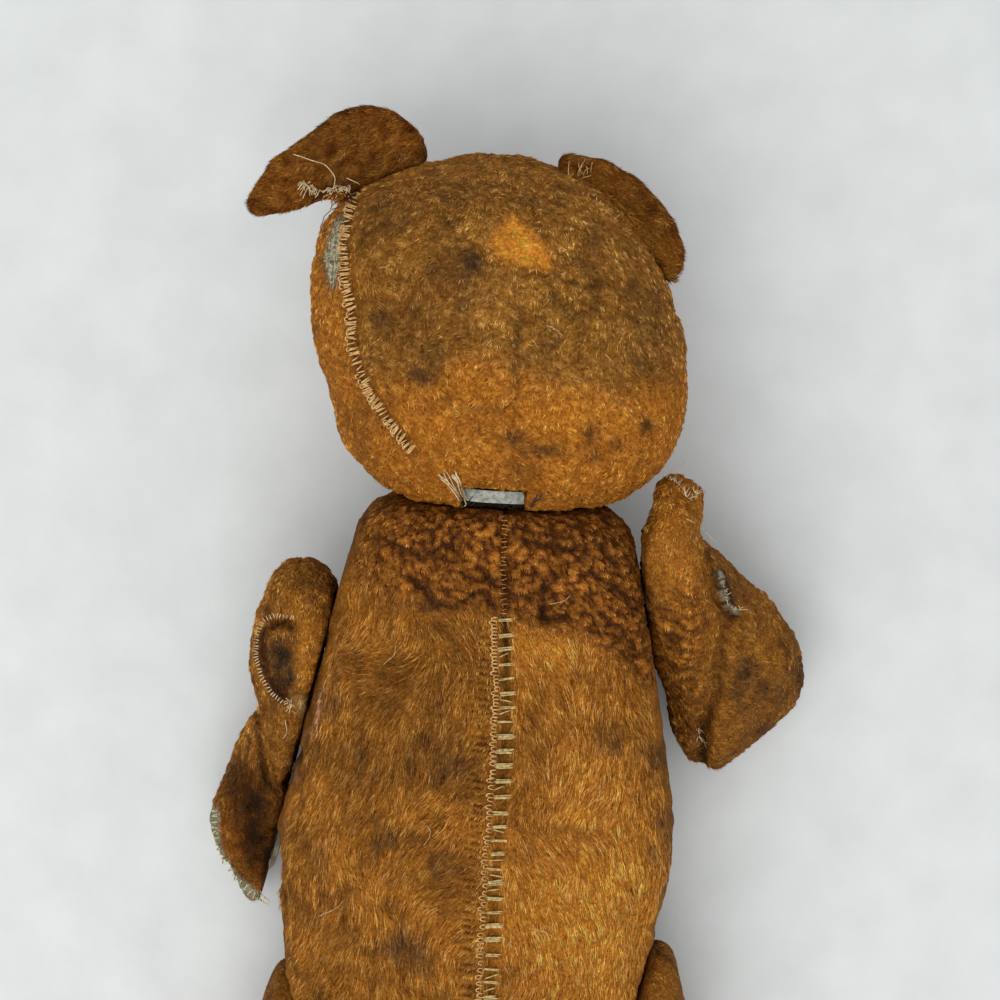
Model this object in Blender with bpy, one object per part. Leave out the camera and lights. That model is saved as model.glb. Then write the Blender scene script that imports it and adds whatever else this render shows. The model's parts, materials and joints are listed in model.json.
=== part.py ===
"""A threadbare plush bear with five disc joints, lying face down.

The bear is modelled in its own frame: +Y runs up the body to the crown, +X to the bear's
right, and +Z out of its back. One empty, "bear", then lays that frame on the floor with
the neck end raised, because the muzzle props the head.

Each sewn cover is a closed skin. It is cut flat at its joints, hollowed to the cloth's
thickness and parted at its seams. The stuffing is the same skin, shrunk to fit inside.
"""

import math

import bmesh
import bpy
from mathutils import Matrix, Vector

MM = 0.001

# Driving dimensions, in metres and radians
GAP = 0.35 * MM  # clearance between pieces that touch
CLOTH = 2.2 * MM  # plush and its backing
STUFFING_GAP = 0.8 * MM  # the stuffing keeps this much from the cloth
FELT = 1.8 * MM  # pads on paws and feet
BOARD = 2.5 * MM  # joint discs
NECK_BOARD = 4.5 * MM  # the neck carries the heavy head
NECK_DISC_RADIUS = 34.0 * MM
LIMB_DISC_RADIUS = 15.0 * MM
WASHER = 1.0 * MM
WASHER_RADIUS = 8.0 * MM
WIRE_RADIUS = 0.9 * MM  # cotter pins
PIN_LEG_GAP = 0.3 * MM
PIN_EYE_RADIUS = 2.6 * MM
PIN_CURL_RADIUS = 2.4 * MM
PIN_CURL_STEPS = 5
PIN_EYE_STEPS = 8
PIN_EYE_ROOM = 8.6 * MM  # what the stuffing leaves free past the washer
PIN_CURL_ROOM = 5.2 * MM
PIN_HOLE = 2.45 * MM
DISC_SIDES = 18
OVAL_SIDES = 16
PLATE_REACH = 220  # millimetres, further than any part of the bear
WASHER_SIDES = 8
TORSO_SIDES = 18
HEAD_SIDES = 20
LIMB_SIDES = 12

TILT = math.radians(8.0)  # the neck end of the body stands higher than the hip end
NECK_HEIGHT = 77.0 * MM
PLACE = Vector((-8.0 * MM, 112.25 * MM, NECK_HEIGHT))  # the bear frame, from the box centre

SHOULDER_LEAN = math.radians(12.0)
HIP_LEAN_RIGHT = math.radians(14.0)
HIP_LEAN_LEFT = math.radians(15.0)

BODY_SEAM_X = 5.5 * MM
SLOT_LOW = Vector((-13.4, 8.4, 22.0)) * MM  # the gap worn open at the nape
SLOT_HIGH = Vector((10.4, 14.5, 70.0)) * MM

# Cross-sections, in millimetres: y, left x, right x, front z, back z, squareness
TORSO = (
    (5.5, -40, 40, -37, 37, 2.2),
    (2.5, -48, 47, -41, 40, 2.4),
    (-4.5, -55, 53, -43, 43, 2.5),
    (-13.0, -60, 58, -44, 46, 2.5),
    (-26.0, -64, 63, -47, 49, 2.6),
    (-52.0, -68, 69, -51, 52, 2.6),
    (-82.0, -72, 72, -54, 55, 2.4),
    (-124.0, -79, 77.5, -58, 57, 2.3),
    (-147.0, -79, 77, -59, 57, 2.3),
    (-170.0, -77.5, 72, -57, 55, 2.4),
    (-190.0, -74.5, 70, -52, 51, 2.6),
    (-206.0, -71, 68, -47, 46, 2.6),
    (-219.0, -66, 63, -40, 39, 2.5),
    (-228.0, -51, 49, -29, 28, 2.3),
    (-232.0, -30, 30, -17, 16, 2.1),
)
HEAD = (
    (5.9, -41, 43, -38, 37, 2.2),
    (9.0, -46, 48, -42, 40, 2.2),
    (14.5, -52, 57, -45, 45, 2.3),
    (21.5, -58, 63.5, -47, 50, 2.3),
    (28.5, -62, 66.5, -49, 53, 2.3),
    (37.0, -64.5, 68.5, -50, 55, 2.3),
    (45.0, -67, 70, -50, 56, 2.3),
    (53.0, -70, 70, -50, 57, 2.3),
    (62.0, -73, 69, -50, 58, 2.3),
    (72.0, -75, 68, -49, 58, 2.3),
    (88.0, -76, 62, -46, 55, 2.3),
    (105.0, -73, 52, -41, 49, 2.3),
    (119.0, -63, 40, -34, 40, 2.2),
    (130.0, -41, 27, -22, 27, 2.1),
    (136.0, -20, 7, -8, 12, 2.0),
)
MUZZLE_CENTRE = (2.0 * MM, 45.0 * MM)
MUZZLE_SIZE = (28.0 * MM, 23.0 * MM)
MUZZLE_TIP = 0.4  # the share of the muzzle's size that is its blunt tip
MUZZLE_REACH = 31.2 * MM

# The arms' cross-sections lean: y, centre x, centre z, half length, half thickness, lean
ARM_LEFT = (
    (-21.0, -74.0, 5.0, 4.0, 4.0, 0.0),
    (-25.0, -73.5, 4.0, 15.0, 9.5, 0.0),
    (-31.0, -72.5, 4.0, 22.0, 14.0, 0.0),
    (-44.0, -72.5, 2.0, 27.0, 18.5, 0.0),
    (-62.0, -76.0, -2.0, 28.0, 18.5, 3.0),
    (-83.0, -76.5, -10.0, 27.0, 13.5, 8.0),
    (-103.2, -83.5, -20.0, 27.0, 15.0, 15.0),
    (-122.3, -90.0, -26.0, 26.0, 16.0, 16.0),
    (-137.1, -92.5, -30.0, 23.0, 16.0, 14.0),
    (-149.9, -92.0, -34.0, 19.0, 14.0, 10.0),
    (-160.5, -90.0, -36.0, 13.0, 9.5, 5.0),
    (-166.9, -87.0, -37.0, 7.0, 5.5, 0.0),
    (-169.5, -85.5, -37.0, 4.0, 3.0, 0.0),
)
ARM_RIGHT = (
    (19.0, 68.5, 2.0, 4.0, 3.0, 0.0),
    (15.5, 69.0, 2.0, 12.0, 5.5, 2.0),
    (8.5, 68.5, 2.0, 20.0, 9.0, 5.0),
    (-3.0, 67.0, 1.0, 27.0, 14.0, 8.0),
    (-16.0, 71.5, -4.0, 32.0, 19.5, 14.0),
    (-23.0, 75.0, -7.5, 35.0, 22.5, 19.0),
    (-32.0, 80.0, -11.0, 38.0, 26.5, 25.0),
    (-51.3, 92.0, -20.0, 42.0, 25.0, 32.0),
    (-66.2, 97.0, -26.0, 40.0, 20.5, 32.5),
    (-75.9, 97.5, -30.0, 37.0, 20.0, 30.0),
    (-85.5, 96.5, -33.5, 31.5, 18.5, 27.0),
    (-95.1, 94.5, -36.5, 22.5, 14.5, 22.0),
    (-102.6, 92.5, -38.0, 12.0, 8.0, 15.0),
    (-105.8, 92.0, -38.0, 5.0, 3.5, 0.0),
)
# One leg, seen as the right one; the left one mirrors it and is moved by LEFT_LEG_SHIFT
LEG = (
    (-170.0, 68.0, 77.0, -8, 6, 2.0),
    (-173.0, 66.0, 80.0, -17, 15, 2.2),
    (-179.0, 61.0, 82.5, -25, 21, 2.3),
    (-191.0, 56.0, 86.0, -32, 27, 2.4),
    (-210.0, 53.0, 93.0, -33, 29, 2.4),
    (-240.0, 54.0, 95.0, -28, 31, 2.3),
    (-272.0, 56.0, 92.0, -18, 33, 2.2),
    (-304.0, 57.0, 90.0, -9, 34, 2.2),
    (-322.0, 56.0, 91.0, -15, 36, 2.2),
    (-336.0, 54.0, 93.0, -26, 37, 2.2),
    (-348.0, 54.0, 93.0, -30, 36, 2.2),
    (-355.0, 56.0, 91.0, -29, 34, 2.2),
    (-358.0, 59.0, 88.0, -26, 31, 2.2),
)
LEFT_LEG_SHIFT = (1.5, -15.0)  # x and y, in millimetres
SOLE_CENTRE = (73.5, 3.0)  # x and z, in millimetres
SOLE_SIZE = (13.0, 22.0)

# Seams, as lines across the back of the bear, in millimetres
GUSSET_BACK = ((-64, 160), (-64, 110), (-65, 93), (-60, 66), (-51, 44), (-39, 29), (-30, 17), (-24, -6),
               (28, -6), (34, 17), (46, 38), (54, 66), (57, 93), (54, 110), (54, 160))
GUSSET_FRONT = ((-64, 160), (-60, 112), (-40, 86), (-13, 60), (-5, 45),
                (9, 45), (17, 60), (40, 86), (52, 112), (54, 160))
GUSSET_PARTING = -8.0  # z at which the back outline hands over to the front one
ARM_LEFT_SEAM = ((-74, 20), (-74, -21), (-77, -52), (-78, -83), (-90, -128), (-86, -164), (-86, -210))
ARM_RIGHT_SEAM = ((66, 60), (66, 19), (70, -10), (86, -32), (94, -55), (93, -100), (93, -150))
LEG_SEAM = ((72, -120), (72, -166), (74, -200), (75, -240), (73, -300), (73.5, -400))

EAR_LEFT = ((-33, 131), (-37, 141), (-46, 149), (-56, 151.5), (-68, 147.5), (-79, 138.5), (-91, 129),
            (-95.5, 121), (-99.5, 114), (-97, 109.5), (-86, 111.5), (-71, 117), (-58, 117))
EAR_RIGHT = ((8, 131), (19, 137.5), (32, 136), (45, 129.5), (54.5, 121.5), (60.5, 114), (64, 105),
             (64, 98), (60, 91), (52, 90), (34, 112))
EAR_THICKNESS = 7.0 * MM
EAR_Z = 4.0 * MM

EYES = {"left": (-28.0, 66.0), "right": (31.0, 66.0)}  # x and y, in millimetres
EYE_Z = -51.4 * MM
EYE_RADIUS = 5.5 * MM
SHANK_RADIUS = 1.1 * MM

COLOURS = {
    "plush": ((0.30, 0.135, 0.04), 0.95, 0.0),
    "faded plush": ((0.22, 0.12, 0.05), 0.95, 0.0),
    "felt": ((0.42, 0.36, 0.24), 0.95, 0.0),
    "wood wool": ((0.55, 0.42, 0.22), 0.9, 0.0),
    "board": ((0.32, 0.33, 0.34), 0.85, 0.0),
    "steel": ((0.42, 0.40, 0.38), 0.45, 1.0),
    "eye": ((0.012, 0.009, 0.008), 0.15, 0.0),
    "thread": ((0.03, 0.022, 0.018), 0.8, 0.0),
}


def clear_scene():
    for old in list(bpy.data.objects):
        bpy.data.objects.remove(old, do_unlink=True)


def material(name):
    made = bpy.data.materials.get(name)
    if made:
        return made
    colour, roughness, metallic = COLOURS[name]
    made = bpy.data.materials.new(name)
    made.use_nodes = True
    shader = made.node_tree.nodes["Principled BSDF"]
    shader.inputs["Base Color"].default_value = (*colour, 1.0)
    shader.inputs["Roughness"].default_value = roughness
    shader.inputs["Metallic"].default_value = metallic
    return made


# ---------------------------------------------------------------- frames and objects

def empty(name, matrix, parent=None):
    """An unseen frame, placed in its parent's frame."""
    frame = bpy.data.objects.new(name, None)
    bpy.context.collection.objects.link(frame)
    frame.parent = parent
    frame.matrix_basis = matrix
    return frame


def joint_matrix(point, outward):
    """A frame whose Z runs along a joint's pin, from the torso into the limb."""
    turn = Vector(outward).to_track_quat("Z", "Y").to_matrix().to_4x4()
    return Matrix.Translation(point) @ turn


def add_object(name, data, parent, finish=None):
    made = bpy.data.objects.new(name, data)
    bpy.context.collection.objects.link(made)
    made.parent = parent
    if finish:
        data.materials.append(material(finish))
    else:
        made.hide_render = True
        made.display_type = "WIRE"
    return made


def add_mesh(name, skin, parent, finish=None):
    """A node, or with no finish a cutter, whose skin is given in the bear's frame.

    The mesh is stored in its parent's frame, so a limb's origin is on its joint."""
    if parent is not BEAR:
        bmesh.ops.transform(skin, matrix=parent.matrix_basis.inverted(), verts=skin.verts)
    data = bpy.data.meshes.new(name)
    skin.to_mesh(data)
    skin.free()
    if finish:
        data.shade_smooth()
        data.set_sharp_from_angle(angle=math.radians(40))
    return add_object(name, data, parent, finish)


def boolean(target, operation, cutter, solver="EXACT"):
    cut = target.modifiers.new(f"{operation.lower()} {cutter.name}", "BOOLEAN")
    cut.operation = operation
    cut.solver = solver
    cut.object = cutter


# ---------------------------------------------------------------- skins

def signed_power(value, power):
    return math.copysign(abs(value) ** power, value)


def loft(rings, sides):
    """A closed skin through rings; each is a height y and a function from the circle to x, z."""
    skin = bmesh.new()
    last_edges = None
    for index, (height, place) in enumerate(rings):
        is_end = index in (0, len(rings) - 1)
        made = bmesh.ops.create_circle(skin, cap_ends=is_end, radius=1.0, segments=sides)
        edges = list({edge for vertex in made["verts"] for edge in vertex.link_edges})
        for vertex in made["verts"]:
            x, z = place(vertex.co.x, vertex.co.y)
            vertex.co = Vector((x, height, z))
        if last_edges:
            bmesh.ops.bridge_loops(skin, edges=last_edges + edges)
        last_edges = edges
    bmesh.ops.recalc_face_normals(skin, faces=skin.faces)
    return skin


def inset_rows(rows, inset, signs):
    """Rows for the same form, inset inside it, or outside it when inset is negative."""
    middle = (rows[0][0] + rows[-1][0]) / 2
    shrink = 1 - inset / abs(rows[0][0] - middle)
    return [(middle + (row[0] - middle) * shrink,
             *(value + sign * inset for value, sign in zip(row[1:], signs)))
            for row in rows]


def upright_rings(rows, inset):
    """Rings for rows that give a left, right, front and back limit."""
    rings = []
    for y, left, right, front, back, square in inset_rows(rows, inset, (1, -1, 1, -1, 0)):
        def place(c, s, left=left, right=right, front=front, back=back, power=2 / square):
            x = (left + right) / 2 + (right - left) / 2 * signed_power(c, power)
            z = (front + back) / 2 + (back - front) / 2 * signed_power(s, power)
            return x * MM, z * MM
        rings.append((y * MM, place))
    return rings


def leaning_rings(rows, inset, outward):
    """Rings for rows that give a centre, two half sizes and a lean towards outward."""
    rings = []
    for y, centre_x, centre_z, length, thickness, lean in inset_rows(rows, inset, (0, 0, -1, -1, 0)):
        tilt = math.radians(lean)

        def place(c, s, cx=centre_x, cz=centre_z, a=length, b=thickness, tilt=tilt):
            along = a * signed_power(s, 0.9)
            across = b * signed_power(c, 0.9)
            x = across * math.cos(tilt) - outward * along * math.sin(tilt)
            z = along * math.cos(tilt) + outward * across * math.sin(tilt)
            return (cx + x) * MM, (cz + z) * MM
        rings.append((y * MM, place))
    return rings


def cut_flat(skin, point, outward):
    """Cuts off what lies outward of a plane, and closes the cut with one flat face."""
    bmesh.ops.bisect_plane(
        skin, geom=skin.verts[:] + skin.edges[:] + skin.faces[:],
        dist=0.01 * MM, plane_co=point, plane_no=outward, clear_outer=True)
    rim = [edge for edge in skin.edges if edge.is_boundary]
    bmesh.ops.holes_fill(skin, edges=rim, sides=0)
    bmesh.ops.recalc_face_normals(skin, faces=skin.faces)


class Form:
    """A stuffed piece's outer form, which can be made smaller or larger by an inset."""

    def __init__(self, rings, rows, sides, planes=(), change=None):
        self.rings = rings
        self.rows = rows
        self.sides = sides
        self.planes = list(planes)
        self.change = change

    def skin(self, inset=0.0):
        made = loft(self.rings(self.rows, inset / MM), self.sides)
        if self.change:
            self.change(made, inset)
        bmesh.ops.triangulate(made, faces=made.faces, quad_method="FIXED")
        for point, outward in self.planes:
            outward = Vector(outward).normalized()
            cut_flat(made, Vector(point) - outward * inset, outward)
        return made


def prism(outline, low, high):
    """An outline in millimetres, extruded between two heights in metres."""
    skin = bmesh.new()
    base = skin.faces.new([skin.verts.new((x * MM, y * MM, low)) for x, y in outline])
    grown = bmesh.ops.extrude_face_region(skin, geom=[base])
    tops = [item for item in grown["geom"] if isinstance(item, bmesh.types.BMVert)]
    bmesh.ops.translate(skin, verts=tops, vec=(0, 0, high - low))
    bmesh.ops.recalc_face_normals(skin, faces=skin.faces)
    return skin


def swollen(skin, distance):
    """A copy whose every face is moved out by distance."""
    grown = skin.copy()
    grown.normal_update()
    steps = [vertex.normal * vertex.calc_shell_factor() * distance for vertex in grown.verts]
    for vertex, step in zip(grown.verts, steps):
        vertex.co += step
    return grown


def box(low, high):
    outline = ((low.x / MM, low.y / MM), (high.x / MM, low.y / MM),
               (high.x / MM, high.y / MM), (low.x / MM, high.y / MM))
    return prism(outline, low.z, high.z)


def oval(centre, size):
    turns = (2 * math.pi * step / OVAL_SIDES for step in range(OVAL_SIDES))
    return [(centre[0] + size[0] * math.cos(turn), centre[1] + size[1] * math.sin(turn))
            for turn in turns]


def turned(profile, sides, matrix):
    """A profile of radius and height, spun about Z and then placed."""
    skin = bmesh.new()
    points = [skin.verts.new((radius, 0, height)) for radius, height in profile]
    closed = profile[0][0] > 0
    pairs = list(zip(points, points[1:])) + ([(points[-1], points[0])] if closed else [])
    edges = [skin.edges.new(pair) for pair in pairs]
    bmesh.ops.spin(skin, geom=points + edges, axis=(0, 0, 1), cent=(0, 0, 0),
                   angle=2 * math.pi, steps=sides, use_merge=True)
    bmesh.ops.remove_doubles(skin, verts=skin.verts, dist=0.001 * MM)
    bmesh.ops.recalc_face_normals(skin, faces=skin.faces)
    bmesh.ops.transform(skin, matrix=matrix, verts=skin.verts)
    return skin


# ---------------------------------------------------------------- the bear's frame

BEAR = None


def floor_plane():
    """The floor's point and downward normal, in the bear's frame."""
    back = BEAR.matrix_basis.inverted()
    return back @ Vector((0, 0, 0)), back.to_3x3() @ Vector((0, 0, -1))


# ---------------------------------------------------------------- disc joints

class Joint:
    """One disc joint: where its pin passes from the torso into a limb.

    Heights are along the pin. 0 is the torso's cloth, and FACE is the limb's."""

    FACE = 0.4 * MM

    def __init__(self, name, limb, point, outward, radius=LIMB_DISC_RADIUS, board=BOARD):
        self.name = name
        self.limb = limb
        self.radius = radius
        self.board = board
        self.outward = Vector(outward).normalized()
        self.matrix = joint_matrix(Vector(point), self.outward)
        self.frame = empty(f"{name} joint", self.matrix, BEAR)

    @property
    def point(self):
        return self.matrix.translation

    @property
    def limb_point(self):
        return self.point + self.outward * self.FACE

    def ring(self, radius, low, high, sides):
        profile = [(PIN_HOLE, low), (radius, low), (radius, high), (PIN_HOLE, high)]
        return turned(profile, sides, self.matrix)

    def pocket(self, side):
        """What the stuffing leaves free for the disc, the washer and the pin."""
        start = self.FACE if side > 0 else 0.0
        reach = PIN_EYE_ROOM if side > 0 else PIN_CURL_ROOM
        disc_top = CLOTH + GAP + self.board + GAP
        heights = [start, start + disc_top, start + disc_top + WASHER + reach]
        wide = self.radius + GAP
        slim = WASHER_RADIUS + GAP
        profile = [(0, -1 * MM), (wide, -1 * MM), (wide, heights[1]), (slim, heights[1]),
                   (slim, heights[2]), (0, heights[2])]
        return turned([(radius, side * height) for radius, height in profile],
                      DISC_SIDES, self.matrix)

    def pin(self):
        """A cotter pin: an eye in the limb, and two legs curled back in the torso."""
        leg_x = WIRE_RADIUS + PIN_LEG_GAP / 2
        stack = CLOTH + GAP + self.board + GAP + WASHER
        eye_low = self.FACE + stack + GAP + WIRE_RADIUS
        eye_height = eye_low + math.sqrt(PIN_EYE_RADIUS ** 2 - leg_x ** 2)
        leg_low = -stack - GAP - WIRE_RADIUS - PIN_LEG_GAP / 3
        route = []
        for step in range(PIN_CURL_STEPS + 1):
            turn = math.pi * step / PIN_CURL_STEPS
            route.append((leg_x + PIN_CURL_RADIUS * (1 + math.cos(turn)),
                          leg_low - PIN_CURL_RADIUS * math.sin(turn)))
        half = list(route)
        start = math.asin(leg_x / PIN_EYE_RADIUS)
        for step in range(PIN_EYE_STEPS + 1):
            turn = start + (2 * math.pi - 2 * start) * step / PIN_EYE_STEPS
            route.append((PIN_EYE_RADIUS * math.sin(turn), eye_height - PIN_EYE_RADIUS * math.cos(turn)))
        route += [(-x, z) for x, z in reversed(half)]
        curve = bpy.data.curves.new(f"{self.name}_pin", "CURVE")
        curve.dimensions = "3D"
        curve.bevel_depth = WIRE_RADIUS
        curve.bevel_resolution = 1
        curve.use_fill_caps = True
        spline = curve.splines.new("POLY")
        spline.points.add(len(route) - 1)
        for point, (x, z) in zip(spline.points, route):
            point.co = (x, 0, z, 1)
        add_object(f"{self.name}_pin", curve, self.frame, "steel")

    def add_hardware(self):
        disc = CLOTH + GAP
        washer = disc + self.board + GAP
        limb = self.FACE
        pieces = (
            (f"{self.name}_torso_disc", self.radius, -disc - self.board, -disc, DISC_SIDES, "board", BEAR),
            (f"{self.name}_torso_washer", WASHER_RADIUS, -washer - WASHER, -washer,
             WASHER_SIDES, "steel", BEAR),
            (f"{self.name}_{self.limb}_disc", self.radius, limb + disc, limb + disc + self.board,
             DISC_SIDES, "board", self.frame),
            (f"{self.name}_{self.limb}_washer", WASHER_RADIUS, limb + washer,
             limb + washer + WASHER, WASHER_SIDES, "steel", self.frame),
        )
        for name, radius, low, high, sides, finish, parent in pieces:
            add_mesh(name, self.ring(radius, low, high, sides), parent, finish)
        self.pin()

    def hole_cutter(self, parent):
        reach = 15 * MM
        profile = [(0, -reach), (PIN_HOLE, -reach), (PIN_HOLE, reach), (0, reach)]
        hole = turned(profile, WASHER_SIDES, self.matrix)
        return add_mesh(f"{self.name} hole in {parent.name}", hole, parent)


# ---------------------------------------------------------------- sewn and stuffed pieces

def add_panel(name, form, parent, region, hollow, cutters=(), outside=False, finish="plush",
              solver="EXACT"):
    """One panel of cloth: the part of a form inside (or outside) a region, hollowed.

    The exact solver tears the head's and the left arm's panels, so those ask for MANIFOLD."""
    panel = add_mesh(name, form.skin(), parent, finish)
    boolean(panel, "DIFFERENCE" if outside else "INTERSECT", region, solver)
    for cutter in (hollow, *cutters):
        boolean(panel, "DIFFERENCE", cutter, solver)
    return panel


def add_stuffing(name, form, parent, pockets):
    stuffing = add_mesh(name, form.skin(CLOTH + STUFFING_GAP), parent, "wood wool")
    for index, pocket in enumerate(pockets):
        boolean(stuffing, "DIFFERENCE", add_mesh(f"{name} pocket {index}", pocket, parent))


def add_overlay(name, form, parent, outline, low, high, thickness, finish):
    """A thin piece sewn on a cover: a layer that follows it, cut to an outline."""
    layer = add_mesh(name, form.skin(-GAP - thickness), parent, finish)
    boolean(layer, "INTERSECT", add_mesh(f"{name} outline", prism(outline, low, high), parent))
    boolean(layer, "DIFFERENCE", add_mesh(f"{name} seat", form.skin(-GAP), parent))


def half_region(name, seam, side, parent, low=-0.12, high=0.12, shift=0.0):
    """Everything to one side of a seam line, as a cutter."""
    far = side * PLATE_REACH
    outline = [(x + shift, y) for x, y in seam]
    outline = [(far, outline[0][1]), *outline, (far, outline[-1][1])]
    return add_mesh(name, prism(outline, low, high), parent)


def build_torso(joints):
    planes = [(joint.point, joint.outward) for joint in joints[1:]] + [floor_plane()]
    form = Form(upright_rings, TORSO, TORSO_SIDES, planes)
    hollow = add_mesh("torso hollow", form.skin(CLOTH), BEAR)
    holes = [joint.hole_cutter(BEAR) for joint in joints]
    seam = [(BODY_SEAM_X / MM, 60), (BODY_SEAM_X / MM, -260)]
    half_gap = GAP / MM / 2
    left = half_region("left torso region", seam, -1, BEAR, shift=-half_gap)
    right = half_region("right torso region", seam, 1, BEAR, shift=half_gap)
    add_panel("torso_cover_left", form, BEAR, left, hollow, [holes[0], holes[1], holes[3]])
    add_panel("torso_cover_right", form, BEAR, right, hollow, [holes[2], holes[4]])
    add_stuffing("torso_stuffing", form, BEAR, [joint.pocket(-1) for joint in joints])


def draw_out_muzzle(skin, inset):
    """Pulls the muzzle out of the front of the head."""
    for vertex in skin.verts:
        across = (vertex.co.x - MUZZLE_CENTRE[0]) / (MUZZLE_SIZE[0] - inset)
        up = (vertex.co.y - MUZZLE_CENTRE[1]) / (MUZZLE_SIZE[1] - inset)
        slope = (math.hypot(across, up) - MUZZLE_TIP) / (1 - MUZZLE_TIP)
        slope = min(1.0, max(0.0, slope))
        if vertex.co.z < 0:
            vertex.co.z -= MUZZLE_REACH * (0.5 + 0.5 * math.cos(math.pi * slope))


def build_head(neck):
    frame = neck.frame
    form = Form(upright_rings, HEAD, HEAD_SIDES, change=draw_out_muzzle)
    hollow = add_mesh("head hollow", form.skin(CLOTH), frame)
    back = prism(GUSSET_BACK, (GUSSET_PARTING - 1) * MM, 100 * MM)
    front = prism(GUSSET_FRONT, -120 * MM, GUSSET_PARTING * MM)
    wide_back = add_mesh("gusset back, with seam gap", swollen(back, GAP), frame)
    wide_front = add_mesh("gusset front, with seam gap", swollen(front, GAP), frame)
    region = add_mesh("gusset back", back, frame)
    boolean(region, "UNION", add_mesh("gusset front", front, frame))
    slot = add_mesh("nape slot", box(SLOT_LOW, SLOT_HIGH), frame)
    shanks = {side: add_mesh(f"{side} shank hole", shank(x, y, SHANK_RADIUS + GAP), frame)
              for side, (x, y) in EYES.items()}
    add_panel("head_gusset", form, frame, region, hollow, [neck.hole_cutter(frame), slot],
              finish="faded plush", solver="MANIFOLD")
    seam = [(MUZZLE_CENTRE[0] / MM, 180), (MUZZLE_CENTRE[0] / MM, -20)]
    half_gap = GAP / MM / 2
    for side, sign in (("left", -1), ("right", 1)):
        half = half_region(f"{side} head region", seam, sign, frame, shift=sign * half_gap)
        add_panel(f"head_side_{side}", form, frame, half, hollow,
                  [wide_back, wide_front, shanks[side]], solver="MANIFOLD")
    add_stuffing("head_stuffing", form, frame,
                 [neck.pocket(1)] + [shank(x, y, SHANK_RADIUS + GAP) for x, y in EYES.values()])
    clearance = add_mesh("head clearance", form.skin(-GAP), frame)
    build_ears(frame, clearance)
    build_face(frame, form, clearance)


def shank(x, y, radius, length=14 * MM):
    """The stem behind an eye, or the hole for it."""
    place = Matrix.Translation((x * MM, y * MM, EYE_Z - 1 * MM))
    return turned([(0, 0), (radius, 0), (radius, length), (0, length)], 10, place)


def build_ears(frame, clearance):
    for name, outline in (("ear_left", EAR_LEFT), ("ear_right", EAR_RIGHT)):
        skin = prism(outline, EAR_Z - EAR_THICKNESS / 2, EAR_Z + EAR_THICKNESS / 2)
        rims = [edge for edge in skin.edges if abs(edge.verts[0].co.z - edge.verts[1].co.z) < 0.1 * MM]
        bmesh.ops.bevel(skin, geom=rims, offset=2.2 * MM, segments=2, profile=0.5,
                        affect="EDGES", material=-1)
        boolean(add_mesh(name, skin, frame, "plush"), "DIFFERENCE", clearance)


def build_face(frame, form, clearance):
    for side, (x, y) in EYES.items():
        dome = [(EYE_RADIUS * math.sin(turn), -EYE_RADIUS * 0.62 * math.cos(turn))
                for turn in (math.radians(18 * step) for step in range(6))]
        profile = dome + [(EYE_RADIUS * 0.82, 1.2 * MM), (SHANK_RADIUS, 1.2 * MM),
                          (SHANK_RADIUS, 10 * MM), (0, 10 * MM)]
        eye = turned(profile, 14, Matrix.Translation((x * MM, y * MM, EYE_Z)))
        add_mesh(f"eye_{side}", eye, frame, "eye")
    x, y = MUZZLE_CENTRE[0] / MM, MUZZLE_CENTRE[1] / MM
    nose = [(x - 10, y + 10), (x + 10, y + 10), (x + 8, y + 3), (x, y - 3), (x - 8, y + 3)]
    add_overlay("nose_stitching", form, frame, nose, -120 * MM, -40 * MM, 1.2 * MM, "thread")
    mouth = [(x - 0.9, y - 4.2), (x - 0.9, y - 10), (x - 9, y - 14.5), (x - 8, y - 16.3), (x, y - 12),
             (x + 8, y - 16.3), (x + 9, y - 14.5), (x + 0.9, y - 10), (x + 0.9, y - 4.2)]
    add_overlay("mouth_stitching", form, frame, mouth, -120 * MM, -40 * MM, 1.2 * MM, "thread")


def limb_planes(joint):
    return [(joint.limb_point, -joint.outward), floor_plane()]


def build_arm(side, joint, rows, seam, pad):
    sign = -1 if side == "left" else 1

    def rings(rows, inset):
        return leaning_rings(rows, inset, sign)

    form = Form(rings, rows, LIMB_SIDES, limb_planes(joint))
    add_limb(f"arm_{side}", form, joint, seam, sign)
    centre, size, high = pad
    add_overlay(f"paw_pad_{side}", form, joint.frame, oval(centre, size),
                -120 * MM, high * MM, FELT, "felt")


def add_limb(name, form, joint, seam, sign):
    """An inner and an outer panel, and the stuffing between them."""
    frame = joint.frame
    hollow = add_mesh(f"{name} hollow", form.skin(CLOTH), frame)
    outer = half_region(f"{name} outer region", seam, sign, frame)
    inner = half_region(f"{name} outer region, with seam gap", seam, sign, frame,
                        shift=-sign * GAP / MM)
    add_panel(f"{name}_outer", form, frame, outer, hollow, solver="MANIFOLD")
    add_panel(f"{name}_inner", form, frame, inner, hollow, [joint.hole_cutter(frame)],
              outside=True, solver="MANIFOLD")
    add_stuffing(f"{name}_stuffing", form, frame, [joint.pocket(1)])


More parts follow.
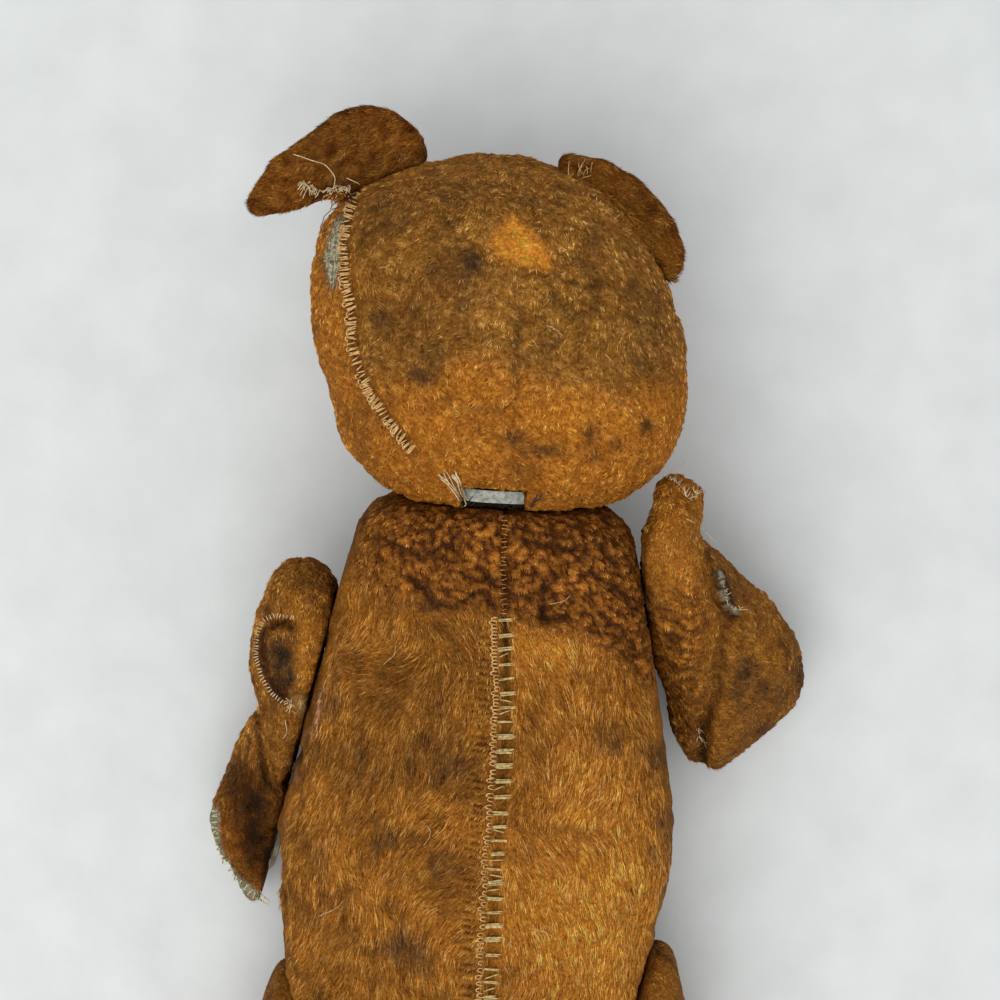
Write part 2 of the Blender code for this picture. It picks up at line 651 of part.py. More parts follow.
def build_leg(side, joint):
    """A leg; the left one mirrors the right one and is moved by LEFT_LEG_SHIFT."""
    rows, seam, centre = list(LEG), list(LEG_SEAM), SOLE_CENTRE
    sign = 1
    if side == "left":
        sign = -1
        dx, dy = LEFT_LEG_SHIFT
        rows = [(y + dy, dx - right, dx - left, *rest) for y, left, right, *rest in rows]
        seam = [(dx - x, y + dy) for x, y in seam]
        centre = (dx - centre[0], centre[1])
    form = Form(upright_rings, rows, LIMB_SIDES, limb_planes(joint))
    add_limb(f"leg_{side}", form, joint, seam, sign)
    pad = prism(oval((centre[0], -centre[1]), SOLE_SIZE), 0, FELT)
    bmesh.ops.rotate(pad, verts=pad.verts, matrix=Matrix.Rotation(math.radians(90), 3, "X"))
    bmesh.ops.translate(pad, verts=pad.verts, vec=(0, rows[-1][0] * MM - GAP, 0))
    add_mesh(f"foot_pad_{side}", pad, joint.frame, "felt")


def side_axis(sign, lean):
    return (sign * math.cos(lean), math.sin(lean), 0)


def main():
    global BEAR
    clear_scene()
    BEAR = empty("bear", Matrix.Translation(PLACE) @ Matrix.Rotation(TILT, 4, "X"))
    neck = Joint("neck", "head", Vector((0, 5.5, 0)) * MM, (0, 1, 0), NECK_DISC_RADIUS, NECK_BOARD)
    shoulder_left = Joint("shoulder_left", "arm", Vector((-62.6, -50, 3)) * MM,
                          side_axis(-1, SHOULDER_LEAN))
    shoulder_right = Joint("shoulder_right", "arm", Vector((58.3, -30, 3)) * MM,
                           side_axis(1, SHOULDER_LEAN))
    hip_left = Joint("hip_left", "leg", Vector((-65.5, -204, -3)) * MM,
                     side_axis(-1, -HIP_LEAN_LEFT))
    hip_right = Joint("hip_right", "leg", Vector((62.6, -194, -3)) * MM,
                      side_axis(1, -HIP_LEAN_RIGHT))
    joints = [neck, shoulder_left, shoulder_right, hip_left, hip_right]
    for joint in joints:
        joint.add_hardware()
    build_torso(joints)
    build_head(neck)
    build_arm("left", shoulder_left, ARM_LEFT, ARM_LEFT_SEAM, ((-92, -138), (16, 22), -33))
    build_arm("right", shoulder_right, ARM_RIGHT, ARM_RIGHT_SEAM, ((105, -65), (14, 20), -36))
    build_leg("left", hip_left)
    build_leg("right", hip_right)


main()
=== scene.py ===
# %% [markdown]
# # A threadbare jointed bear, lying face down
# The construction is ready: panels, stuffing, discs and pins at their real size. This lesson gives it
# its looks. Each stuffed part gets one padded skin that is drawn in onto its panels and then sculpted,
# and a short, matted pile grows from that skin. Stitches, tears and loose threads come last.

# %% Load the frame
import json
import math

import bmesh
import bpy
import numpy as np
from mathutils import Matrix, Vector, noise
from mathutils.bvhtree import BVHTree

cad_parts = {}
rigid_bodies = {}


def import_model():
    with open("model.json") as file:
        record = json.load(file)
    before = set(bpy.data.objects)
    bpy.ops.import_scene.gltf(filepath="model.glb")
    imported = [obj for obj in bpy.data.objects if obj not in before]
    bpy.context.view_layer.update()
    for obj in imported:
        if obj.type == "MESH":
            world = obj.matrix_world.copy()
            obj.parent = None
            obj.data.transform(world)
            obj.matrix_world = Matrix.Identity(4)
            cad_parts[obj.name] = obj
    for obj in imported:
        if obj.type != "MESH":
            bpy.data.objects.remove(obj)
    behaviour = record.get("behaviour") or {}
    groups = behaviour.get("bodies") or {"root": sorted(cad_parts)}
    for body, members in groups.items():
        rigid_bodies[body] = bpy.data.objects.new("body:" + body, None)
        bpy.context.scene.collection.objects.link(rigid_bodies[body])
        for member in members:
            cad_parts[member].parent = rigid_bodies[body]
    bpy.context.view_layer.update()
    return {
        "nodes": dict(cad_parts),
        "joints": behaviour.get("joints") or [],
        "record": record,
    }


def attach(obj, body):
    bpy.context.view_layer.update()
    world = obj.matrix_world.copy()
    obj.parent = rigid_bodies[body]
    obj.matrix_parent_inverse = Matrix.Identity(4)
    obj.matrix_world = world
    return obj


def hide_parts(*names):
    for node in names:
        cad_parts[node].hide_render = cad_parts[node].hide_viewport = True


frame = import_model()
MM = 0.001

# %% [markdown]
# A bear lying with its neck end raised is easiest to dress in its own frame: x across its back, y up
# its spine and z out of its back, in millimetres. The neck joint's place and axis in the record give
# that frame, so every mark below moves with the construction.

# %% The bear's own frame
NECK_Y = 5.5  # the neck joint is this far up the spine from the frame's origin
joints = {joint["name"]: joint for joint in frame["joints"]}
spine = Vector(joints["neck_turn"]["axis"])
BEAR = (Matrix.Translation(joints["neck_turn"]["pos_m"])
        @ Matrix.Rotation(math.atan2(spine.z, spine.y), 4, "X")
        @ Matrix.Translation((0, -NECK_Y * MM, 0)))
TO_BEAR = np.array(BEAR.inverted())
TURN = np.array(BEAR.to_3x3())


def place(x, y, z=0.0):
    """A point of the bear's frame, in millimetres, as a place in the scene."""
    return BEAR @ (Vector((x, y, z)) * MM)


def in_bear(points):
    """Scene points as rows of the bear's frame, in millimetres."""
    return (np.asarray(points, float).reshape(-1, 3) @ TO_BEAR[:3, :3].T + TO_BEAR[:3, 3]) / MM


print("the spine rises", round(math.degrees(math.asin(spine.z)), 1), "degrees")

# %% [markdown]
# The camera looks straight down, as over a table, with the head at the top of the view and the legs
# past its lower edge. A long lens keeps the proportions flat.

# %% Camera
FLOOR_TO_LENS = 0.94
VIEW_WIDTH = 0.380  # what the view spans at the height of the bear's back
BACK_HEIGHT = 0.09
VIEW_TURN = math.radians(3.19)
PLAN_MIDDLE = (0.9, 5.0)

camera_data = bpy.data.cameras.new("camera")
camera_data.sensor_width = 36.0
camera_data.lens = camera_data.sensor_width * (FLOOR_TO_LENS - BACK_HEIGHT) / VIEW_WIDTH
camera = bpy.data.objects.new("camera", camera_data)
bpy.context.scene.collection.objects.link(camera)
aim = place(*PLAN_MIDDLE)
camera.location = (aim.x, aim.y, FLOOR_TO_LENS)
camera.rotation_euler = (0.0, 0.0, VIEW_TURN)
bpy.context.scene.camera = camera
print("lens", round(camera_data.lens, 1), "mm")

# %% [markdown]
# Seams, marks and stitches are placed on a plan: a flat drawing of the back as the lens sees it, in
# millimetres. High parts look larger on a plan than low ones, and the slope of the back shifts them, so
# one helper finds where any point falls on the plan and another finds the sight line through a place
# on the plan.

# %% The plan


def on_plan(points):
    """Where rows of the bear's frame fall on the plan."""
    scene = points * MM @ TURN.T + np.array(BEAR.translation)
    scale = (FLOOR_TO_LENS - BACK_HEIGHT) / (FLOOR_TO_LENS - scene[:, 2])
    return (scene[:, :2] - np.array(aim[:2])) * scale[:, None] / MM + PLAN_MIDDLE


def sight_line(x, y):
    """The direction from the lens through a place on the plan."""
    target = Vector((aim.x + (x - PLAN_MIDDLE[0]) * MM, aim.y + (y - PLAN_MIDDLE[1]) * MM, BACK_HEIGHT))
    return (target - camera.location).normalized()


print("the middle of the back is", round((BACK_HEIGHT - aim.z) / MM), "mm under the plan")

# %% [markdown]
# A material is a small graph of nodes. Most graphs here are the same few steps, so one helper adds a
# node and links or sets its inputs. What is one value all over a surface stays on the shader's socket.

# %% Material helpers


def new_material(name, roughness, **settings):
    """A material and its tree, with the shader's plain values set."""
    made = bpy.data.materials.new(name)
    made.use_nodes = True
    shader = made.node_tree.nodes["Principled BSDF"]
    shader.inputs["Roughness"].default_value = roughness
    for socket, value in settings.items():
        shader.inputs[socket.replace("_", " ")].default_value = value
    return made, made.node_tree, shader


def add_node(tree, kind, inputs=None, **settings):
    """A node whose inputs are values or other nodes' outputs."""
    made = tree.nodes.new(kind)
    for name, value in settings.items():
        setattr(made, name, value)
    for socket, value in (inputs or {}).items():
        if isinstance(value, bpy.types.NodeSocket):
            tree.links.new(value, made.inputs[socket])
        else:
            made.inputs[socket].default_value = value
    return made


def blended(tree, share, low, high, kind="MIX"):
    """Low where share is 0 and high where it is 1; each is a colour or an output."""
    mix = tree.nodes.new("ShaderNodeMix")
    mix.data_type = "RGBA"
    mix.blend_type = kind
    for socket, value in ((mix.inputs[0], share), (mix.inputs[6], low), (mix.inputs[7], high)):
        if isinstance(value, bpy.types.NodeSocket):
            tree.links.new(value, socket)
        else:
            socket.default_value = value
    return mix.outputs[2]


print("a node's input is a value or another node's output")

# %% [markdown]
# No real surface has one flat tone. Noise in the piece's own coordinates gives the grain, and finer
# noise gives the bump. The noise keeps near its middle, so its range is spread to the whole of 0 to 1.

# %% Grain and bump


def grain(tree, size, detail=2.0):
    """Noise whose spots are about size metres, in the piece's own coordinates."""
    place_on_piece = add_node(tree, "ShaderNodeTexCoord").outputs["Object"]
    return add_node(tree, "ShaderNodeTexNoise",
                    {"Vector": place_on_piece, "Scale": 1 / size, "Detail": detail}).outputs["Fac"]


def spread(tree, value, low, high):
    """A 0 to 1 value whose range low to high is stretched to the whole of it."""
    return add_node(tree, "ShaderNodeMapRange",
                    {"Value": value, "From Min": low, "From Max": high}).outputs["Result"]


def roughen(tree, shader, height, depth):
    """Bump of that depth in metres, driven by a height from 0 to 1."""
    bump = add_node(tree, "ShaderNodeBump", {"Height": height, "Distance": depth})
    tree.links.new(bump.outputs["Normal"], shader.inputs["Normal"])


def grained_material(name, roughness, low, high, size, bump, **settings):
    """A material whose colour wanders between two tones, with a bump of the same grain."""
    made, tree, shader = new_material(name, roughness, **settings)
    tone = spread(tree, grain(tree, size, 4.0), 0.3, 0.7)
    tree.links.new(blended(tree, tone, (*low, 1), (*high, 1)), shader.inputs["Base Color"])
    roughen(tree, shader, grain(tree, size / 4, 3.0), bump)
    return made


print("bump is a quarter of the size of the grain")

# %% [markdown]
# ## Floor and light
# The bear lies on a plain pale cloth. It is one flat grid.

# %% Floor
floor_skin = bmesh.new()
bmesh.ops.create_grid(floor_skin, x_segments=2, y_segments=2, size=3.0)
floor_mesh = bpy.data.meshes.new("floor")
floor_skin.to_mesh(floor_mesh)
floor_skin.free()
floor = bpy.data.objects.new("floor", floor_mesh)
bpy.context.scene.collection.objects.link(floor)
floor_mesh.materials.append(grained_material(
    "pale cloth", 0.9, (0.53, 0.545, 0.535), (0.58, 0.595, 0.585), 0.03, 0.0003))
print("floor", round(floor.dimensions.x, 1), "m wide")

# %% [markdown]
# The light is soft daylight: a large lamp low on the left, a wider one above, and an even sky that keeps
# the shadows open. Large lamps give soft edges to shadows, as a window does.

# %% Light
sky = bpy.data.worlds.new("sky")
sky.use_nodes = True
sky.node_tree.nodes["Background"].inputs["Color"].default_value = (0.96, 0.98, 1.0, 1)
sky.node_tree.nodes["Background"].inputs["Strength"].default_value = 0.78
bpy.context.scene.world = sky
bpy.context.scene.view_settings.view_transform = "Standard"


def add_lamp(name, location, size, power):
    lamp_data = bpy.data.lights.new(name, "AREA")
    lamp_data.size = size
    lamp_data.energy = power
    lamp = bpy.data.objects.new(name, lamp_data)
    bpy.context.scene.collection.objects.link(lamp)
    lamp.location = location
    lamp.rotation_euler = (-Vector(location)).to_track_quat("-Z", "Y").to_euler()


add_lamp("window", (-0.42, -0.80, 1.7), 1.7, 24.0)
add_lamp("ceiling", (0.0, -0.1, 2.2), 1.8, 11.0)
print("two large lamps and an even sky")

# %% [markdown]
# ## Staying behind the joints
# Each joint has a plane: the torso ends there and the limb begins 0.4 mm further on. A disc joint turns
# about that plane's own normal, so whatever stays behind it can't meet the other body at any angle.
# Skin and pile are both pressed back to these planes, and to the floor.

# %% Joint planes
JOINT_GAP = 0.4 * MM
PRESS_GAP = 0.05 * MM


def joint_planes(body):
    """The planes that a body stays behind, as points and outward directions."""
    planes = [(Vector((0, 0, 0.2 * MM)), Vector((0, 0, -1)))]
    for joint in frame["joints"]:
        point, axis = Vector(joint["pos_m"]), Vector(joint["axis"])
        if joint["parent"] == body:
            planes.append((point, axis))
        if joint["child"] == body:
            planes.append((point + axis * JOINT_GAP, -axis))
    return [(np.array(point), np.array(out)) for point, out in planes]


def pressed(points, body):
    """Scene points, with those past a plane brought back to it."""
    points = np.array(points, float)
    for point, out in joint_planes(body):
        past = (points - point) @ out + PRESS_GAP
        points -= np.clip(past, 0, None)[:, None] * out
    return points


print("the torso stays behind", len(joint_planes("torso")), "planes")

# %% [markdown]
# ## Drawing a skin in onto the panels
# The panels are coarse and hold the true size. A padded skin with thousands of faces is wanted over
# them. One way is to remesh the panels, but that closes no seam gaps and gives no tidy grid for a
# texture. So a sphere is stretched to a capsule along each part, and every vertex is cast inwards until
# it meets the part. A search tree finds where each ray meets the panels.

# %% Drawing in


def solid_tree(nodes):
    """A search tree over several CAD nodes."""
    points, faces = [], []
    for node in nodes:
        mesh = frame["nodes"][node].data
        faces += [[index + len(points) for index in face.vertices] for face in mesh.polygons]
        points += [vertex.co.copy() for vertex in mesh.vertices]
    return BVHTree.FromPolygons(points, faces)


def capsule_axes(start, end):
    """The length from start to end, the direction, and two directions square to it."""
    axis = (end - start).normalized()
    side = (BEAR.to_3x3() @ Vector((1, 0, 0))).cross(axis).cross(-axis).normalized()
    return (end - start).length, axis, side, side.cross(axis)


def draw_in(nodes, start, end, radius, around, along, closer=0.0):
    """A capsule about start-end, in millimetres, cast inwards onto the nodes.

    With closer above 0 its faces are smaller over the back than over the front.
    """
    target = solid_tree(nodes)
    start = place(*start)
    length, axis, side, up = capsule_axes(start, place(*end))
    back = math.copysign(math.pi / 2, up.z)
    radius *= MM
    straight = length - 2 * radius
    corner = radius * math.pi / 2
    skin = bmesh.new()
    skin.loops.layers.uv.new("OFBake")
    bmesh.ops.create_uvsphere(skin, u_segments=around, v_segments=along, radius=1.0, calc_uvs=True)
    missed = 0
    for vertex in skin.verts:
        path = math.acos(max(-1.0, min(1.0, vertex.co.z))) / math.pi * (straight + 2 * corner)
        middle = start + axis * (radius + min(max(path - corner, 0.0), straight))
        lean = min(path, corner) / radius + max(path - corner - straight, 0.0) / radius
        turn = math.atan2(vertex.co.y, vertex.co.x)
        turn -= closer * math.sin(turn - back)
        outward = -axis * math.cos(lean) + (side * math.cos(turn) + up * math.sin(turn)) * math.sin(lean)
        hit = target.ray_cast(middle + outward * 0.3, -outward)[0]
        missed += hit is None
        vertex.co = hit or middle + outward * radius
    if skin.calc_volume(signed=True) < 0:
        bmesh.ops.reverse_faces(skin, faces=skin.faces)
    print(nodes[0], len(skin.verts), "vertices drawn in,", missed, "missed")
    return skin


# %% [markdown]
# Smoothing melts the panels' flat facets, but it also shrinks a shape. So the size it took is measured
# at each vertex, evened out over the neighbours and given back.

# %% Melting the facets


def melt(skin, passes):
    """Smooths a skin and gives back the size that this takes."""
    before = np.array([vertex.co for vertex in skin.verts])
    for _ in range(passes):
        bmesh.ops.smooth_vert(skin, verts=skin.verts, factor=0.5,
                              use_axis_x=True, use_axis_y=True, use_axis_z=True)
    skin.normal_update()
    after = np.array([vertex.co for vertex in skin.verts])
    normals = np.array([vertex.normal for vertex in skin.verts])
    lost = ((before - after) * normals).sum(1)
    print("smoothing took up to", round(lost.max() / MM, 1), "mm")
    edges = np.array([[vertex.index for vertex in edge.verts] for edge in skin.edges])
    links = np.bincount(edges.ravel(), minlength=len(lost))
    for _ in range(3 * passes):
        shared = (np.bincount(edges[:, 0], lost[edges[:, 1]], len(lost))
                  + np.bincount(edges[:, 1], lost[edges[:, 0]], len(lost)))
        lost = 0.5 * lost + 0.5 * shared / links
    for vertex, step in zip(skin.verts, lost.tolist()):
        vertex.co += vertex.normal * step


# %% [markdown]
# Sculpting in code means moving each vertex along its normal by a sum of fields. A field is a number
# for every point, worked out for all points at once. The first kind is drawn on the plan: soft spots,
# soft lines, steps and outlines.

# %% Fields on the plan


def spot(plan, x, y, wide, high=None):
    """1 at a place on the plan, falling softly to 0; wide and high are the spot's half sizes."""
    high = high or wide
    return np.exp(-((plan[:, 0] - x) / wide) ** 2 - ((plan[:, 1] - y) / high) ** 2)


def spots(plan, *rows):
    """A sum of spots, each given by its height and then by place and half sizes."""
    return sum(height * spot(plan, *where) for height, *where in rows)


def line_distance(plan, line):
    """How far each point lies from a line on the plan."""
    nearest = np.full(len(plan), 1e9)
    for a, b in zip(line, line[1:]):
        a, b = np.array(a[:2], float), np.array(b[:2], float)
        along = np.clip(((plan - a) @ (b - a)) / ((b - a) @ (b - a)), 0, 1)
        nearest = np.minimum(nearest, np.linalg.norm(plan - a - along[:, None] * (b - a), axis=1))
    return nearest


def along_line(plan, line, width):
    """1 on a line, falling softly to 0 at about width from it."""
    return np.exp(-(line_distance(plan, line) / width) ** 2)


def grooves(plan, *rows):
    """A sum of soft lines, each given by its height, line and width."""
    return sum(height * along_line(plan, line, width) for height, line, width in rows)


def step_up(values, middle, soft):
    """0 well below the middle and 1 well above it."""
    return 1 / (1 + np.exp(-np.clip((values - middle) / soft, -30, 30)))


def outside_of(plan, corners):
    """How far each point lies outside a convex clockwise outline; negative inside it."""
    furthest = np.full(len(plan), -1e9)
    for a, b in zip(corners, corners[1:] + corners[:1]):
        a, b = np.array(a, float), np.array(b, float)
        out = np.array((a[1] - b[1], b[0] - a[0])) / np.linalg.norm(b - a)
        furthest = np.maximum(furthest, (plan - a) @ out)
    return furthest


print("a spot falls to", round(float(spot(np.array([[1.0, 0.0]]), 0, 0, 1)[0]), 2), "at its half size")

# %% [markdown]
# The second kind is noise in space. Lumps wander softly, nodules are rounded grains with creases
# between them, and locks are lumps smeared along the lie of the hair.

# %% Fields in space


def lumps(points, size, seed=0.0):
    """Smooth noise from -1 to 1, with lumps of about that size in millimetres."""
    scaled = points / size + seed * 17.3
    return np.array([noise.noise(row) for row in scaled.tolist()])


def waver(points, *rows):
    """A sum of lumps, each given by its height, size and seed."""
    return sum(height * lumps(points, size, seed) for height, size, seed in rows)


def nodules(points, size, seed=0.0, crease=0.4):
    """Separate rounded lumps: 0 in the creases between them and 1 on their tops."""
    bent = points + 0.4 * size * np.stack([lumps(points, 0.9 * size, seed + axis) for axis in range(3)], 1)
    near = [noise.voronoi(row)[0] for row in (bent / size + seed * 17.3).tolist()]
    return np.clip(np.array([(pair[1] - pair[0]) / crease for pair in near]), 0, 1)


def lying(directions, normals):
    """Directions laid flat on the surface, as unit rows."""
    flat = directions - normals * (directions * normals).sum(1)[:, None]
    return flat / (np.linalg.norm(flat, axis=1)[:, None] + 1e-9)


def locks(points, lie, width=1.3, reach=1.1):
    """Streaks from about -1 to 1 that follow the lie of the hair."""
    streaks = [lumps(points - lie * reach * step, width, 71) for step in range(4)]
    return sum(streaks) / 1.7


print("noise at one point:", round(float(lumps(np.array([[5.0, 5.0, 5.0]]), 8)[0]), 2))

# %% [markdown]
# The last kind comes from the surface: which way it faces, and how near another piece is. Where an eye
# or a pad lies on a skin, the skin is left unsculpted and sunk a little, so the trim stands clear.

# %% Sculpting a skin
TRIM_REACH = 5.0
TRIM_SINK = 0.7


def facing_back(normals, soft=0.25):
    """1 where the surface faces out of the back, and 0 where it faces the belly."""
    return np.clip(normals[:, 2] / soft + 0.5, 0, 1)


def skin_rows(skin):
    """A skin's points and normals as rows of the bear's frame."""
    skin.normal_update()
    points = in_bear([vertex.co for vertex in skin.verts])
    return points, np.array([vertex.normal for vertex in skin.verts]) @ TURN


def away_from(points, tree, distance):
    """0 on what the tree holds, rising to 1 at a distance in millimetres."""
    scene = points * MM @ TURN.T + np.array(BEAR.translation)
    gaps = [tree.find_nearest(row)[3] for row in scene.tolist()]
    return np.clip(np.array(gaps) / (distance * MM), 0, 1)


def sculpt(skin, body, change, trims=()):
    """Moves every vertex along its normal by change(points, normals), in millimetres."""
    points, normals = skin_rows(skin)
    steps = change(points, normals)
    if trims:
        away = away_from(points, solid_tree(trims), TRIM_REACH)
        steps = steps * away - TRIM_SINK * (1 - away)
    moved = np.array([vertex.co for vertex in skin.verts]) + (normals @ TURN.T) * steps[:, None] * MM
    for vertex, where in zip(skin.verts, pressed(moved, body)):
        vertex.co = where
    skin.normal_update()


print("trims stand", TRIM_SINK, "mm clear")

# %% [markdown]
# ## Colour
# The plush was golden brown. Light has faded the back of the head to grey-brown, except one spot that
# something covered. These are its tones, as linear colours, a dark tone that paints shade into creases,
# and the dark marks: stains that handling has left, and painted shade in dents, creases and folds.

# %% Palette and marks
GOLD = np.array((0.72, 0.265, 0.030))
TAN = np.array((0.37, 0.135, 0.015))
UMBER = np.array((0.105, 0.037, 0.008))
# painted shade for creases, folds, grooves and gaps
CREASE_SHADE = np.array((0.060, 0.019, 0.008))
# soot of stains, and also painted shade in dents, creases and gaps
SOOT_AND_SHADE = np.array((0.070, 0.036, 0.016))
STRAW = np.array((0.80, 0.47, 0.15))
FADED = np.array((0.500, 0.222, 0.040))
UNWORN = np.array((1.12, 0.385, 0.042))
BACKING = np.array((0.30, 0.26, 0.17))
FELT_EDGE = np.array((0.42, 0.42, 0.27))
LINING = np.array((0.46, 0.21, 0.075))

# x, y, half width, half height and strength of each dark mark on the plan, in millimetres; some are
# stains and some are painted shade in dents, creases and folds
BODY_STAINS_AND_SHADE = (
    (68, -112, 1.8, 1.8, 1.6), (66, -125, 1.6, 1.6, 1.6), (72, -138, 3, 3, 0.9), (72, -122, 3, 12, 0.5),
    (49, -83, 6, 5, 0.55), (66, -89, 4, 6, 0.65), (31, -118, 9, 2.2, 0.55), (40, -121, 4, 3, 0.45),
    (-15, -100, 5, 5, 0.35), (-12, -92, 12, 12, 0.25), (-38, -127, 2, 2, 0.8), (-60, -133, 4, 7, 0.35),
    (-11, -134, 7, 4, 0.35), (-26, -166, 8, 4, 0.8), (-28, -163, 2, 9, 0.6), (-22, -171, 9, 5, 0.4),
    (21, -35, 2.5, 5, 0.85),
    (-24, -37, 7, 1.8, 0.8), (68, -112, 2, 3, 0.7), (-59, -74, 5, 6, 0.5), (-70, -100, 4, 9, 0.35),
    (56, -34, 7, 6, 0.4), (40, -16, 8, 5, 0.25), (-45, -20, 8, 6, 0.3), (17, -128, 6, 3, 0.2),
    (73, -138, 3, 12, 0.4), (52, -150, 9, 6, 0.2), (-46, -96, 5, 12, 0.2), (24, -92, 7, 9, 0.2),
    (-52, -160, 8, 10, 0.2), (-58, -52, 8, 8, 0.25), (30, -170, 12, 6, 0.15), (-77, -135, 2, 9, 0.8),
)
HEAD_STAINS_AND_SHADE = (
    (-14.5, 95, 5, 4, 0.85), (-17, 90, 9, 6, 0.35), (-29, 91, 3, 3, 0.4), (-48, 71, 4, 6, 0.5),
    (-31, 50, 6, 3, 0.65), (-28, 56, 6, 5, 0.3), (5, 29, 5, 2.5, 0.6), (16, 25, 9, 2.5, 0.6),
    (34, 32, 3, 4, 0.6), (36, 24, 3, 3, 0.5), (55, 37, 3.5, 3, 0.7), (4, 60, 2, 22, 0.35),
    (-18, 78, 4, 5, 0.3), (-34, 72, 8, 10, 0.2), (-46, 112, 12, 8, 0.3), (-20, 40, 18, 3, 0.2),
    (8, 17, 4, 5, 0.3), (44, 28, 3, 4, 0.35), (-8, 30, 4, 3, 0.3), (55, 75, 8, 22, 0.18),
    (30, 104, 4, 4, 0.25), (-6, 120, 30, 5, 0.2), (-52, 30, 6, 8, 0.25),
)
ARM_STAINS_AND_SHADE = (
    (-79, -59, 5, 7, 0.95), (-76, -67, 3, 5, 0.95), (-81, -56, 5, 5, 0.5), (-86, -114, 6, 8, 0.8),
    (-85, -127, 6, 9, 0.8), (-84, -136, 5, 6, 0.6), (-94, -106, 5, 9, 0.55), (-70, -30, 7, 6, 0.3),
    (97, -54, 4, 6, 0.6), (95, -64, 3, 5, 0.6), (105, -62, 5, 5, 0.4), (111, -63, 4, 4, 0.35),
    (119, -53, 4, 9, 0.65), (72, -5, 5, 9, 0.2), (108, -76, 8, 6, 0.35), (90, -26, 3, 8, 0.4),
)


print("marks:", len(BODY_STAINS_AND_SHADE) + len(HEAD_STAINS_AND_SHADE) + len(ARM_STAINS_AND_SHADE))

# %% [markdown]
# One function gives the colour of any point of a part, and both the skin and every tuft of its pile
# store it as a colour attribute, so the marks on the two agree. A surface is coloured in coats, each a
# colour and how much of it covers. The plush itself is streaky gold and tan over umber.

# %% Coats of colour
# with these powers lit paints highlights paler and shade redder
GLINT = np.array((0.85, 1.15, 1.75))  # light hairs are paler, and dark ones redder


def mix_colours(low, high, share):
    """Low where the share is 0 and high where it is 1."""
    share = np.clip(share, 0, 1)[:, None]
    return low * (1 - share) + high * share


def coated(colours, *coats):
    """Colours under some coats, each a colour and its share."""
    for colour, share in coats:
        colours = mix_colours(colours, colour, share)
    return colours


def lit(colours, strength):
    """The colours of lighter or darker hairs: their own tone, and also painted light and shade."""
    return colours * np.clip(strength, 0.04, 3.0)[..., None] ** GLINT


def mottled(colour, points, *rows):
    """One colour, lighter and darker by a sum of lumps."""
    return colour * (1 + waver(points, *rows))[:, None]


def soiled_and_shaded(colours, points, marks, back):
    """Colours under ragged dark marks: stains, and painted shade in dents, creases and folds."""
    plan = on_plan(points)
    ragged = 1 + 0.6 * lumps(points, 3.5, 9)
    for *where, strength in marks:
        cover = np.clip(spot(plan, *where) * ragged, 0, 1) * back
        colours = mix_colours(colours, SOOT_AND_SHADE, 1.25 * strength * cover)
    return colours


def body_colour(points, normals):
    """The plush of the body, arms and legs."""
    gold = 0.26 + 0.6 * waver(points, (1, 30, 1), (0.5, 11, 2)) + 0.35 * lumps(points, 4, 5)
    dusk = 0.10 + waver(points, (0.5, 16, 3), (0.65, 5.5, 4))
    colours = coated(TAN, (GOLD, gold), (UMBER, np.clip(dusk, 0, 0.8)))
    return soiled_and_shaded(colours, points, BODY_STAINS_AND_SHADE, facing_back(normals))


print("plush at one point:", body_colour(np.array([[0.0, -90, 50]]), np.array([[0.0, 0, 1]])).round(2)[0])

# %% [markdown]
# Seams, folds, tears and worn patches are lines and outlines on the plan, in millimetres. The skins, the
# colours, the pile and the threads all use the same ones, so they meet in the same places.

# %% Lines and outlines on the plan
HEAD_SEAM = ((-60, 122), (-62.5, 111), (-63.8, 100), (-63.2, 88), (-59.5, 72), (-58, 58), (-51.3, 43),
             (-42, 31.5), (-33, 21))
BARE_BACKING = [(-64, 112), (-64.5, 98), (-65.5, 84), (-68, 81), (-71, 91.5), (-69.6, 103.5)]
UNWORN_PATCH = [(-0.6, 113.3), (3.5, 110.5), (11.8, 104), (16.4, 94.3), (4.5, 93.7), (-6.7, 97),
                (-8, 103.9)]
FADE_EDGE = ((-71, 57), (-45, 47), (-15, 57), (3, 56), (7, 53), (25, 49), (43, 47), (54, 52), (68, 57))
DART = ((-75.5, -47.4), (-79, -46), (-82.8, -46.4), (-85.6, -49), (-86.5, -53), (-86, -59), (-84.2, -65),
        (-81.2, -70.7), (-78, -74.1))
TAPER = ((-87, -81), (-85.5, -89.5), (-84.4, -96.7), (-82.5, -105.9), (-77.6, -110.3), (-74.5, -107),
         (-71.3, -102.2), (-70.3, -92.8), (-67.6, -86.4))
FLAP_EDGE = ((-62, -68), (-63.5, -77), (-63.8, -85.2), (-67.6, -87), (-70.3, -92.8), (-71.3, -102.2),
             (-70, -106))
UNDER_FLAP = [(-90, -60), (-63, -60), (-64, -85), (-68, -88), (-71, -93), (-72, -103), (-71, -107),
              (-90, -107)]
PAW_INSIDE = [(-92, -97), (-84, -103), (-79, -112), (-74, -125), (-74, -146), (-86, -145), (-97, -132),
              (-98, -112)]
PAW_EDGE = ((-101, -119), (-101, -125), (-99.5, -132), (-96, -139), (-91, -145), (-84, -150), (-78, -153))
ARM_CREASE = ((80.6, -10.4), (83, -17.1), (87.3, -25.6), (91.6, -33.2), (90, -39.1), (88.5, -47),
              (88, -64.5), (85.1, -73.4), (82.4, -77.5), (83.2, -83.2), (83, -90))
TEAR = ((85.7, -17.9), (87.7, -23.7), (89, -29.4), (92.6, -32.6))
EAR_HOLLOW = ((28, 129), (39, 120.5), (51, 110), (60, 99))
EAR_TEAR = ((-74, 115.5), (-70.6, 120.3), (-62, 122))
BACK_SEAM = ((2.6, 4), (3.8, -20), (5.0, -38), (7.6, -70), (7.8, -101), (7.0, -139), (7.4, -185),
             (7.0, -226))
MENDED_FROM = -40  # the back seam is mended below this height
print("the back seam is mended for", MENDED_FROM - BACK_SEAM[-1][1], "mm")
